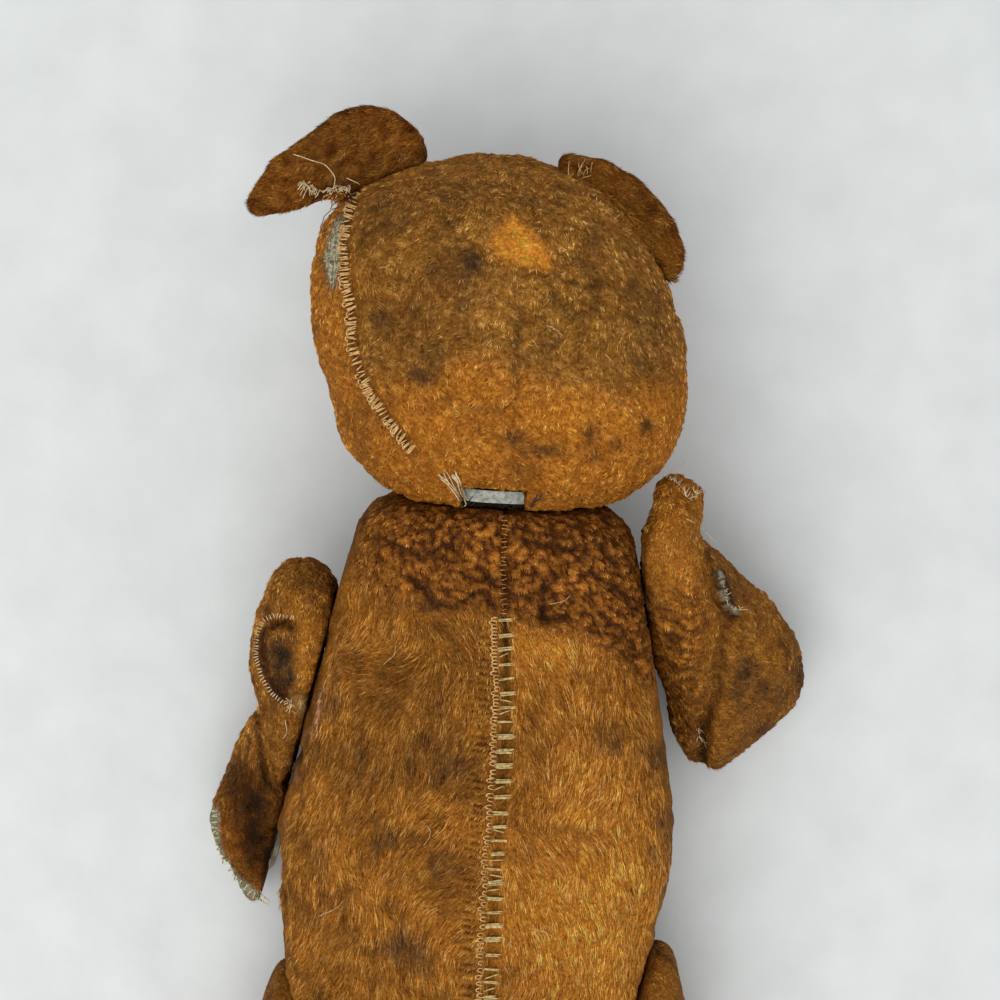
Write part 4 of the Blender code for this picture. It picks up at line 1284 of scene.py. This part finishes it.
def grow_pile(name, skin_piece, body, count, colour, comb, keep, shrink=full_length, seed=1,
              length=3.4, width=0.46, lift=0.2, clumping=0.8, chance=0.2, scatter=0.38, tips=1.0):
    """A piece of pile on a skin: count tufts, with length and width in millimetres."""
    rng = np.random.default_rng(seed)
    at, normal, uv, sides, uv_sides = sample_skin(skin_piece.data, count, keep, rng)
    points, facing = in_bear(at), normal @ TURN
    combed = lying(comb(points, facing), facing)
    lock = locks(points, combed)
    clump = np.stack([lumps(points, 3.6, 60 + axis) for axis in range(3)], 1)
    lie = lying(combed + clumping * clump + rng.normal(0, chance, (count, 3)), facing)
    rise = lift + 0.12 * clump[:, 0] + 0.1 * lock + rng.normal(0, 0.07, count)
    long = length * MM * shrink(points, facing) * rng.uniform(0.6, 1.3, count)
    wide = width * MM * rng.uniform(0.7, 1.3, count)
    corners = tuft_corners(at, normal, lie @ TURN.T, np.clip(rise, 0.04, 1.2)[:, None],
                           long[:, None, None], wide[:, None, None])
    steps = corners - at[:, None, :]
    steps -= normal[:, None, :] * (steps * normal[:, None, :]).sum(2)[:, :, None]
    corner_uv = (uv[:, None, :] + uv_steps(steps, sides, uv_sides)).reshape(-1, 2)
    mesh = tuft_mesh(name, pressed(corners.reshape(-1, 3), body), corner_uv)
    store_colour(mesh, tuft_colours(colour(points, facing), lie, lock, scatter, tips, rng))
    made = new_piece(name, mesh, body, pile_finish)
    print(name, count, "tufts,", len(mesh.polygons), "faces")
    return made


print("of every 100 tufts,", round(100 * BLEACHED_AND_GLINTING), "are bleached and", round(100 * DULL), "dull")

# %% [markdown]
# The back is what is seen and felt, so the tufts are closest there. None grow on the flat faces that
# turn against each other at a joint, on the pins, along the mended seams or under the felt pads.

# %% Where pile grows
CLEAR_OF_JOINTS = 4.0  # millimetres
pin_tree = solid_tree([node for node in frame["nodes"] if node.endswith("_pin")])


def in_the_open(points, normals, body):
    """False beside a pin, and on the flat faces against a joint's plane or the floor."""
    free = away_from(points, pin_tree, CLEAR_OF_JOINTS) == 1
    for point, out in joint_planes(body):
        behind = -((points - in_bear(point)) @ (out @ TURN))
        free &= (behind > CLEAR_OF_JOINTS) | (normals @ (out @ TURN) < 0.6)
    return free


def seen_first(points, normals, body):
    return (0.25 + 0.75 * facing_back(normals, 0.6)) * in_the_open(points, normals, body)


def between(keep, low, high):
    """The part of a density field between two heights of x."""
    return lambda points, normals: keep(points, normals) * (points[:, 0] >= low) * (points[:, 0] < high)


print("pile keeps", CLEAR_OF_JOINTS, "mm from the joints")

# %% [markdown]
# The body's pile is the longest, about 4 mm, and is nearly worn off over the shoulders and the ribs. It
# is grown in three pieces, so that none has too many faces.

# %% Pile on the body


def keep_torso(points, normals):
    plan = on_plan(points)
    bare = np.exp(-((seam_offset(plan) - 0.2) / 1.9) ** 2) * step_up(-plan[:, 1], -MENDED_FROM, 1)
    return seen_first(points, normals, "torso") * (1 - 0.92 * bare * facing_back(normals))


def shrink_torso(points, normals):
    plan = on_plan(points)
    return 1 - 0.70 * shoulder_band(points, plan) - 0.6 * seam_ribs(points, plan)[1]


EDGE = 200
for share, low, high, count in (("left", -EDGE, -24, 47000), ("middle", -24, 28, 44000),
                                ("right", 28, EDGE, 45000)):
    grow_pile(f"torso_pile_{share}", torso, "torso", count, torso_colour, comb_torso,
              between(keep_torso, low, high), shrink_torso, seed=1,
              length=4.2, width=0.38, lift=0.15, clumping=0.4, chance=0.13)

# %% [markdown]
# On the head the pile is shorter and matted into small swirls. It leaves the eyes and the stitched nose
# and mouth bare, and the gap at the nape.

# %% Pile on the head
face_tree = solid_tree(face_nodes)


def keep_head(points, normals):
    plan = on_plan(points)
    sewn = np.maximum(0.93 * along_line(plan, HEAD_SEAM, 2.2), on_backing(points, plan))
    covered = (1 - sewn * facing_back(normals, 1.4)).clip(0) * ~in_nape(points, 0.5)
    return seen_first(points, normals, "head") * covered * (away_from(points, face_tree, 2.5) == 1)


def shrink_head(points, normals):
    return 1 - 0.65 * on_unworn(points, on_plan(points))


for share, low, high in (("left", -EDGE, -3), ("right", -3, EDGE)):
    grow_pile(f"head_pile_{share}", head, "head", 46000, head_colour, comb_head,
              between(keep_head, low, high), shrink_head, seed=2,
              length=2.6, width=0.40, lift=0.06, clumping=0.9, chance=0.2, scatter=0.26, tips=0.65)


# %% [markdown]
# The limbs' pile is short. None grows under the felt pads, on the pad's sewn edge or around the tear.

# %% Pile on the limbs
for limb, side, _, _, _, _, colour, pad in LIMBS:
    name = f"{limb}_{side}"
    pad_tree = solid_tree((f"{pad}_{side}",))

    def keep_limb(points, normals):
        plan = on_plan(points)
        bare = np.minimum(line_distance(plan, PAW_EDGE), line_distance(plan, TEAR)) < 2.0
        return seen_first(points, normals, name) * (away_from(points, pad_tree, 2.5) == 1) * ~bare

    grow_pile(f"{name}_pile", limbs[name], name, {"arm": 22000, "leg": 14000}[limb], colour, comb_limb,
              keep_limb, seed=3, length=2.4, width=0.40, lift=0.14, clumping=0.7)

# %% [markdown]
# The ears keep more of their length, because they were handled less.

# %% Pile on the ears


def keep_ear(points, normals):
    return seen_first(points, normals, "head")


for side in ("left", "right"):
    grow_pile(f"ear_{side}_pile", limbs[f"ear_{side}"], "head", 9000, ear_colour, comb_ear, keep_ear,
              seed=4, length=3.2, width=0.42, lift=0.12, clumping=0.7, chance=0.25)

# %% [markdown]
# ## Thread
# All the mends are in pale linen thread. The threads differ in how bleached or dirty they are, so each
# has two tones of its own.

# %% Thread finishes


def thread_material(name, low, high):
    made = grained_material(name, 0.85, low, high, 0.0012, 0.0002)
    made.node_tree.nodes["Principled BSDF"].inputs["Specular IOR Level"].default_value = 0.2
    return made


linen = thread_material("linen thread", (0.24, 0.165, 0.05), (0.62, 0.47, 0.21))
tan_thread = thread_material("tan thread", (0.34, 0.17, 0.045), (0.72, 0.45, 0.18))
cream_thread = thread_material("cream thread", (0.42, 0.30, 0.14), (0.78, 0.62, 0.38))
woven_thread = thread_material("woven backing thread", (0.14, 0.12, 0.07), (0.50, 0.45, 0.29))
gold_thread = thread_material("golden thread", (0.26, 0.09, 0.015), (0.66, 0.32, 0.09))
dark_thread = thread_material("dark thread", (0.012, 0.014, 0.018), (0.05, 0.055, 0.06))


print("six colours of thread")

# %% [markdown]
# A stitch starts and ends in the cloth and arches over it, so its points are found on the skin by sight
# lines through the plan. A thread may also hang over the outline of a part. There it takes the place in
# the air just beside the skin.

# %% Places on a skin
FURTHEST_BESIDE = 7.0  # millimetres


def tree_of(piece):
    mesh = piece.data
    return BVHTree.FromPolygons([vertex.co for vertex in mesh.vertices],
                                [face.vertices[:] for face in mesh.polygons])


def on_skin(skin_tree, x, y, above):
    """The place on the skin under x, y of the plan, raised by a distance in millimetres.

    Just outside the outline it is a place in the air beside the skin; further out it is None.
    """
    sight = sight_line(x, y)
    hit = skin_tree.ray_cast(camera.location, sight)[0]
    if hit is None:
        beside = camera.location + sight * (FLOOR_TO_LENS - aim.z)
        for _ in range(6):
            hit = skin_tree.find_nearest(beside)[0]
            beside = camera.location + sight * ((hit.z - camera.location.z) / sight.z)
        if (beside - hit).length > FURTHEST_BESIDE * MM:
            return None
        if above > 0:
            hit = hit.lerp(beside, 0.9)
    return hit - sight * above * MM


torso_tree, head_tree = tree_of(torso), tree_of(head)
arm_left_tree, arm_right_tree, ear_left_tree, ear_right_tree = [
    tree_of(limbs[name]) for name in ("arm_left", "arm_right", "ear_left", "ear_right")]
print("search trees of", 6, "skins")

# %% [markdown]
# A thread is a curve with a round bevel, and one piece holds all the stitches of a seam as separate
# splines. The curve is made a mesh at once, so its ends can be closed and its faces turned outwards.

# %% Thread pieces


def add_threads(name, routes, body, radius, finish, sides=0):
    """One piece of thread: a closed tube along each list of scene points that has no gap."""
    curve = bpy.data.curves.new(name, "CURVE")
    curve.dimensions = "3D"
    curve.bevel_depth = radius * MM
    curve.bevel_resolution = sides
    curve.use_fill_caps = True
    curve.resolution_u = 3
    routes = [route for route in routes if all(where is not None for where in route)]
    for route in routes:
        spline = curve.splines.new("NURBS")
        spline.points.add(len(route) - 1)
        for point, where in zip(spline.points, route):
            point.co = (*where, 1)
        spline.order_u = 3
        spline.use_endpoint_u = True
    curve.materials.append(finish)
    holder = bpy.data.objects.new(name, curve)
    mesh = bpy.data.meshes.new_from_object(holder)
    bpy.data.objects.remove(holder)
    skin = bmesh.new()
    skin.from_mesh(mesh)
    bmesh.ops.remove_doubles(skin, verts=skin.verts, dist=0.00001)
    bmesh.ops.recalc_face_normals(skin, faces=skin.faces)
    skin.to_mesh(mesh)
    skin.free()
    mesh.shade_smooth()
    made = new_piece(name, mesh, body)
    print(name, len(routes), "threads,", len(mesh.polygons), "faces")


print("a plain thread has", 4, "sides")

# %% [markdown]
# Hand stitches follow a seam at uneven steps, so each place comes from the one before plus a gap that is
# drawn at random. One seeded generator serves all threads, so that they are the same in every run.

# %% Along a seam
rng = np.random.default_rng(20)


def line_point(line, distance):
    """The point at a distance along a line, and the line's direction there."""
    for a, b in zip(line, line[1:]):
        a, b = Vector(a[:2]), Vector(b[:2])
        if distance <= (b - a).length:
            return a + (b - a).normalized() * distance, (b - a).normalized()
        distance -= (b - a).length
    return b, (b - a).normalized()


def line_length(line):
    return sum((Vector(b[:2]) - Vector(a[:2])).length for a, b in zip(line, line[1:]))


def along_seam(line, gap, start=0.0):
    """Places and directions along a line, each a gap(place) after the one before."""
    distance = start
    while distance < line_length(line):
        at, direction = line_point(line, distance)
        yield at, direction
        distance += gap(at)


print("the head's seam is", round(line_length(HEAD_SEAM)), "mm long")

# %% [markdown]
# Three kinds of stitch do for the whole bear. A plain one goes across the line from cloth to cloth, a
# thick one is a bar of several strands, and an overcast one is a small loop beside the line.

# %% Stitches
STITCH_SHARES = (0.0, 0.1, 0.5, 0.9, 1.0)


def stitch_across(skin_tree, centre, direction, left, right, height, slant=0.0, depth=-0.8):
    """A stitch over a seam, from left to right of it, in millimetres."""
    across = Vector((-direction.y, direction.x))
    if across.x < 0:
        across = -across
    route = []
    for share in STITCH_SHARES:
        at = centre + across * ((left + right) * share - left) - direction * slant * (share - 0.5)
        route.append(on_skin(skin_tree, at.x, at.y, height if 0 < share < 1 else depth))
    return route


def bar(skin_tree, centre, direction, left, right, height, strands=3, spacing=0.5, slant=0.5):
    """One stitch of several strands that lie side by side."""
    routes = []
    for strand in range(strands):
        along = spacing * (strand - (strands - 1) / 2) + rng.uniform(-0.12, 0.12)
        routes.append(stitch_across(skin_tree, centre + direction * along, direction,
                                    left + rng.uniform(-0.6, 0.5), right + rng.uniform(-0.6, 0.5),
                                    height + rng.uniform(-0.3, 0.3), slant + rng.uniform(-0.3, 0.3)))
    return routes


def small_loop(skin_tree, at, reach):
    """A loop that comes out of the cloth, runs sideways and goes back in just below."""
    side = np.sign(reach)
    return [on_skin(skin_tree, at.x + over, at.y + up, above)
            for over, up, above in ((0.7 * side, 0.3, 0.3), (-0.3 * reach, 0.5, 1.3), (-reach, -0.3, 1.2),
                                    (-0.6 * reach, -1.1, 1.1), (0.5 * side, -1.2, 0.2))]


print("a stitch has", len(STITCH_SHARES), "points")

# %% [markdown]
# The centre seam is a ladder of thick stitches about 5.5 mm apart, each of a few strands side by side.
# On their left the overcast thread makes a dense column of small loops, denser near the top. Above the
# mend the machine seam shows as small puckers.

# %% Centre seam stitches
MENDED_SEAM = ((5.1, -40), *BACK_SEAM[3:-1], (7.2, -205))
MACHINE_SEAM = ((3.2, -1), (3.8, -20), (5.0, -38))
LOOPS_DENSE_ABOVE = -78


def loop_gap(at):
    return rng.uniform(1.2, 1.7) if at.y > LOOPS_DENSE_ABOVE else rng.uniform(1.5, 3.2)


rungs, loops, puckers = [], [], []
for centre, direction in along_seam(MENDED_SEAM, lambda at: rng.uniform(4.9, 6.1), 0.5):
    rungs += bar(torso_tree, centre, direction, rng.uniform(2.7, 3.4), rng.uniform(3.3, 4.0),
                 rng.uniform(1.1, 1.4), int(rng.integers(2, 5)), 0.48, rng.uniform(-0.2, 0.9))
    if rng.random() < 0.4:
        rungs.append(stitch_across(torso_tree, centre + direction * rng.uniform(1.6, 2.8), direction,
                                   rng.uniform(2.2, 3), rng.uniform(0.5, 3.2), 1.0, rng.uniform(-1.5, 2.0)))
for centre, _ in along_seam(MENDED_SEAM, loop_gap):
    beside = centre - Vector((rng.uniform(3.2, 4.0), 0))
    loops.append(small_loop(torso_tree, beside, rng.uniform(1.2, 2.4)))
for centre, direction in along_seam(MACHINE_SEAM, lambda at: rng.uniform(1.3, 2.2)):
    puckers.append(stitch_across(torso_tree, centre, direction, rng.uniform(0.8, 1.6),
                                 rng.uniform(0.6, 1.2), 0.9, rng.uniform(-0.8, 0.8), -0.3))
add_threads("back_seam_stitches", rungs, "torso", 0.27, linen, sides=1)
add_threads("back_seam_loops", loops, "torso", 0.24, tan_thread, sides=1)
add_threads("back_seam_puckers", puckers, "torso", 0.19, gold_thread)

# %% [markdown]
# The head's mended seam is sewn much closer, under 2 mm apart, with lumpy loops at both ends of the
# stitches. Beside its top the pile is gone and the woven backing shows its threads.

# %% Head seam stitches
rungs, weave = [], []
for centre, direction in along_seam(HEAD_SEAM, lambda at: rng.uniform(1.5, 2.2)):
    rungs += bar(head_tree, centre, direction, rng.uniform(1.5, 2.4), rng.uniform(1.4, 2.4), 0.9,
                 int(rng.integers(1, 4)), 0.45, rng.uniform(-0.6, 1.4))
    if rng.random() < 0.5:
        beside = centre - Vector((rng.uniform(1.2, 2.0), 0))
        rungs.append(small_loop(head_tree, beside, rng.uniform(0.3, 0.9)))
for _ in range(70):
    x, y = rng.uniform(-70.5, -65.5), rng.uniform(84, 108)
    if outside_of(np.array([(x, y)]), BARE_BACKING)[0] < -0.4:
        long, lean = rng.uniform(2, 5), rng.uniform(-0.6, 0.6)
        weave.append([on_skin(head_tree, x + lean * share, y + long * (share - 0.5), above)
                      for share, above in ((0, -0.2), (0.5, 0.6), (1, -0.2))])
        weave.append([on_skin(head_tree, x + 2.4 * (share - 0.5), y + lean * share, above)
                      for share, above in ((0, -0.2), (0.5, 0.5), (1, -0.2))])
add_threads("head_seam_stitches", rungs, "head", 0.26, tan_thread, sides=1)
add_threads("head_backing_weave", weave, "head", 0.24, woven_thread)

# %% [markdown]
# Loose ends lie about where the cloth is worn: wandering threads that are drawn as a few plan points
# each, and frayed edges where many short ends spread from a line.

# %% Loose threads


def loose_thread(skin_tree, points, above=1.6):
    """A thread lying over the cloth through some places on the plan."""
    route = [on_skin(skin_tree, *points[0], -0.8)]
    for a, b in zip(points, points[1:]):
        for share in (0.0, 0.5):
            at = Vector(a).lerp(Vector(b), share)
            at += Vector(rng.normal(0, 0.25, 2))
            route.append(on_skin(skin_tree, at.x, at.y, above * rng.uniform(0.7, 1.3)))
    return route + [on_skin(skin_tree, *points[-1], above)]


def frayed(skin_tree, line, towards, count, length):
    """Short ends that spread from a line towards one side of the plan."""
    routes = []
    for _ in range(count):
        start, _ = line_point(line, rng.uniform(0, line_length(line)))
        lean = Vector(towards) + Vector(rng.normal(0, 0.5, 2))
        reach = length * rng.uniform(0.5, 1.3)
        bend = Vector(rng.normal(0, 0.25 * reach, 2))
        routes.append([on_skin(skin_tree, start.x, start.y, -0.5),
                       on_skin(skin_tree, *(start + lean * reach * 0.4 + bend), rng.uniform(1.0, 2.4)),
                       on_skin(skin_tree, *(start + lean * reach), rng.uniform(0.8, 2.6))])
    return routes


def bundle(skin_tree, start, middle, end, count, wide):
    """Threads side by side that run together towards their end."""
    routes = []
    for offset in rng.uniform(-1, 1, count) * wide:
        points = [(at[0] + offset * share, at[1] + 0.25 * offset * share)
                  for at, share in ((start, 1.0), (middle, 0.8), (end, 0.4))]
        points[0] = (points[0][0], points[0][1] - rng.uniform(0, 3))
        routes.append(loose_thread(skin_tree, points, 1.5))
    return routes


print("loose ends are under 30 mm")

# %% [markdown]
# At the nape a bundle of threads hangs from the open seam, with a dark tuft at the other end of the gap.
# The left ear hangs by its frayed lining and two dark threads, and the right ear and the right arm have
# frayed where they were sewn on.

# %% Frays and loose ends
add_threads("nape_threads", bundle(head_tree, (-19, 15.2), (-16.4, 10.5), (-12.8, 4.2), 15, 4.2)
            + [loose_thread(head_tree, ((-13, 6), (-12, 2.5), (-14.2, 0.5), (-17, 1)))],
            "head", 0.17, cream_thread)
add_threads("nape_tuft", frayed(head_tree, ((12.4, 2.8), (16.5, 7.5)), (0.4, 0.6), 22, 2.6)
            + frayed(head_tree, ((-12, 2), (2, 2)), (0.3, 0.8), 8, 4.0), "head", 0.13, dark_thread)
add_threads("ear_left_frays",
            frayed(ear_left_tree, ((-72, 119), (-66, 121), (-61, 120)), (-0.4, -0.6), 40, 3.4)
            + frayed(ear_left_tree, ((-82, 122), (-74, 119)), (0.0, -0.7), 30, 3.0)
            + [loose_thread(ear_left_tree, ((-85, 132), (-78.4, 130), (-72.6, 129), (-68.5, 124),
                                            (-69, 119))),
               loose_thread(ear_left_tree, ((-64, 124), (-59, 122), (-58, 118)))],
            "head", 0.17, cream_thread)
add_threads("ear_left_stub",
            frayed(ear_left_tree, ((-70, 118), (-66, 113), (-62, 118)), (0.1, -0.8), 60, 3.6),
            "head", 0.2, gold_thread)
add_threads("ear_left_black_threads",
            [loose_thread(head_tree, ((-66, 113), (-69, 112), (-72, 109), (-73.3, 104.8), (-70.6, 102.4),
                                      (-69.4, 106))),
             loose_thread(head_tree, ((-65, 114), (-68, 115), (-70, 112)))], "head", 0.16, dark_thread)
add_threads("ear_right_frays",
            frayed(ear_right_tree, ((20, 127), (29, 131)), (0.1, 1.0), 12, 4.0)
            + frayed(head_tree, ((28, 124), (39, 113), (50, 103)), (0.6, 0.6), 30, 1.8),
            "head", 0.15, tan_thread)
add_threads("arm_right_frays",
            frayed(arm_right_tree, ((63, 17), (68, 14.5)), (0.3, 0.8), 16, 3.2)
            + frayed(arm_right_tree, ((70, 11), (73, 9), (76, 12)), (0.5, 0.7), 22, 3.0)
            + frayed(arm_right_tree, ((80.5, -76.6), (82, -83)), (0.5, -0.6), 12, 2.6)
            + [loose_thread(arm_right_tree, ((72, 2), (78, -1), (84, -6)))],
            "arm_right", 0.15, cream_thread)
add_threads("arm_right_lining", frayed(arm_right_tree, TEAR, (0.3, 0.2), 26, 1.5)
            + frayed(arm_right_tree, ((91, -31), (94.5, -32)), (0.6, 0.1), 8, 2.0),
            "arm_right", 0.14, cream_thread)
add_threads("arm_left_threads",
            frayed(arm_left_tree, ((-76, -74.5), (-73.5, -77.5)), (-0.2, -0.7), 18, 2.2)
            + [loose_thread(arm_left_tree, ((-76, -83), (-75, -87), (-76.5, -90)))],
            "arm_left", 0.16, cream_thread)

# %% [markdown]
# A few single pale hairs lie on the plush, as on anything old. They are loose threads too, only finer.

# %% Stray hairs
STRAYS = {"head": (head_tree, 6, 1, ((-30, 60), (20, 70), (-50, 90), (40, 60), (0, 40))),
          "torso": (torso_tree, 9, 2, ((-40, -60), (30, -30), (-20, -120), (40, -110), (30, -160),
                                       (-50, -150)))}
for body, (tree, reach, bend, places) in STRAYS.items():
    hairs = []
    for x, y in places:
        lean = rng.uniform(-reach, reach, 2)
        hairs.append(loose_thread(tree, ((x, y), (x + lean[0] / 2 + bend, y + lean[1] / 2),
                                         (x + lean[0], y + lean[1]))))
    add_threads(f"{body}_stray_hairs", hairs, body, 0.08, cream_thread)

# %% [markdown]
# The left arm's dart is sewn round with tiny close stitches just outside its groove, and the paw pad's
# edge with larger ones over the rim. Both are plain stitches along a line.

# %% Arm stitches
DART_STITCHES = ((-75, -44), (-82, -43.4), (-86.2, -45.4), (-88.6, -50.5), (-88.4, -59.8), (-86, -66.8),
                 (-82, -72.8), (-77, -76.5))
around_dart = [stitch_across(arm_left_tree, centre, direction, 0.9, 0.9, 0.9, rng.uniform(-0.6, 0.6), -0.3)
               for centre, direction in along_seam(DART_STITCHES, lambda at: rng.uniform(0.9, 1.5))]
add_threads("arm_left_dart_stitches", around_dart, "arm_left", 0.2, cream_thread)
on_edge = [stitch_across(arm_left_tree, centre, direction, 1.6, 1.6, 1.2, rng.uniform(-0.8, 0.8))
           for centre, direction in along_seam(PAW_EDGE, lambda at: rng.uniform(1.8, 2.8))]
add_threads("paw_edge_stitches", on_edge, "arm_left", 0.24, cream_thread, sides=1)

# %% [markdown]
# ## The pieces that stay as built
# Discs, washers, pins, eyes, pads and the stitched nose have the right shape already. They only need
# their real finish.

# %% Finishes for the carried-over pieces
FINISHES = {
    "board": grained_material("grey fibreboard", 0.85, (0.13, 0.14, 0.115), (0.42, 0.43, 0.36), 0.002,
                              0.0002),
    "steel": grained_material("dull steel", 0.45, (0.30, 0.26, 0.22), (0.50, 0.48, 0.46), 0.003, 0.00005,
                              Metallic=1.0),
    "felt": grained_material("soiled felt", 0.95, (0.20, 0.15, 0.09), (0.52, 0.45, 0.31), 0.006, 0.0004,
                             Sheen_Weight=0.2),
    "eye": grained_material("boot button", 0.22, (0.006, 0.005, 0.004), (0.022, 0.015, 0.012), 0.002,
                            0.00002),
    "thread": grained_material("nose thread", 0.75, (0.012, 0.009, 0.007), (0.05, 0.035, 0.028), 0.0012,
                               0.0002),
}
slots = {part["node"]: part["material_slot"] for part in frame["record"]["subparts"]}
for node, piece in frame["nodes"].items():
    if slots[node] in FINISHES:
        piece.data.materials.clear()
        piece.data.materials.append(FINISHES[slots[node]])
print("finished", sum(slots[node] in FINISHES for node in slots), "carried-over pieces")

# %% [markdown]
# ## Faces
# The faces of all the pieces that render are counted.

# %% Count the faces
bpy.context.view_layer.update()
triangles = sum(len(piece.data.polygons) for piece in bpy.data.objects
                if piece.type == "MESH" and not piece.hide_render)
print("faces in all:", triangles)
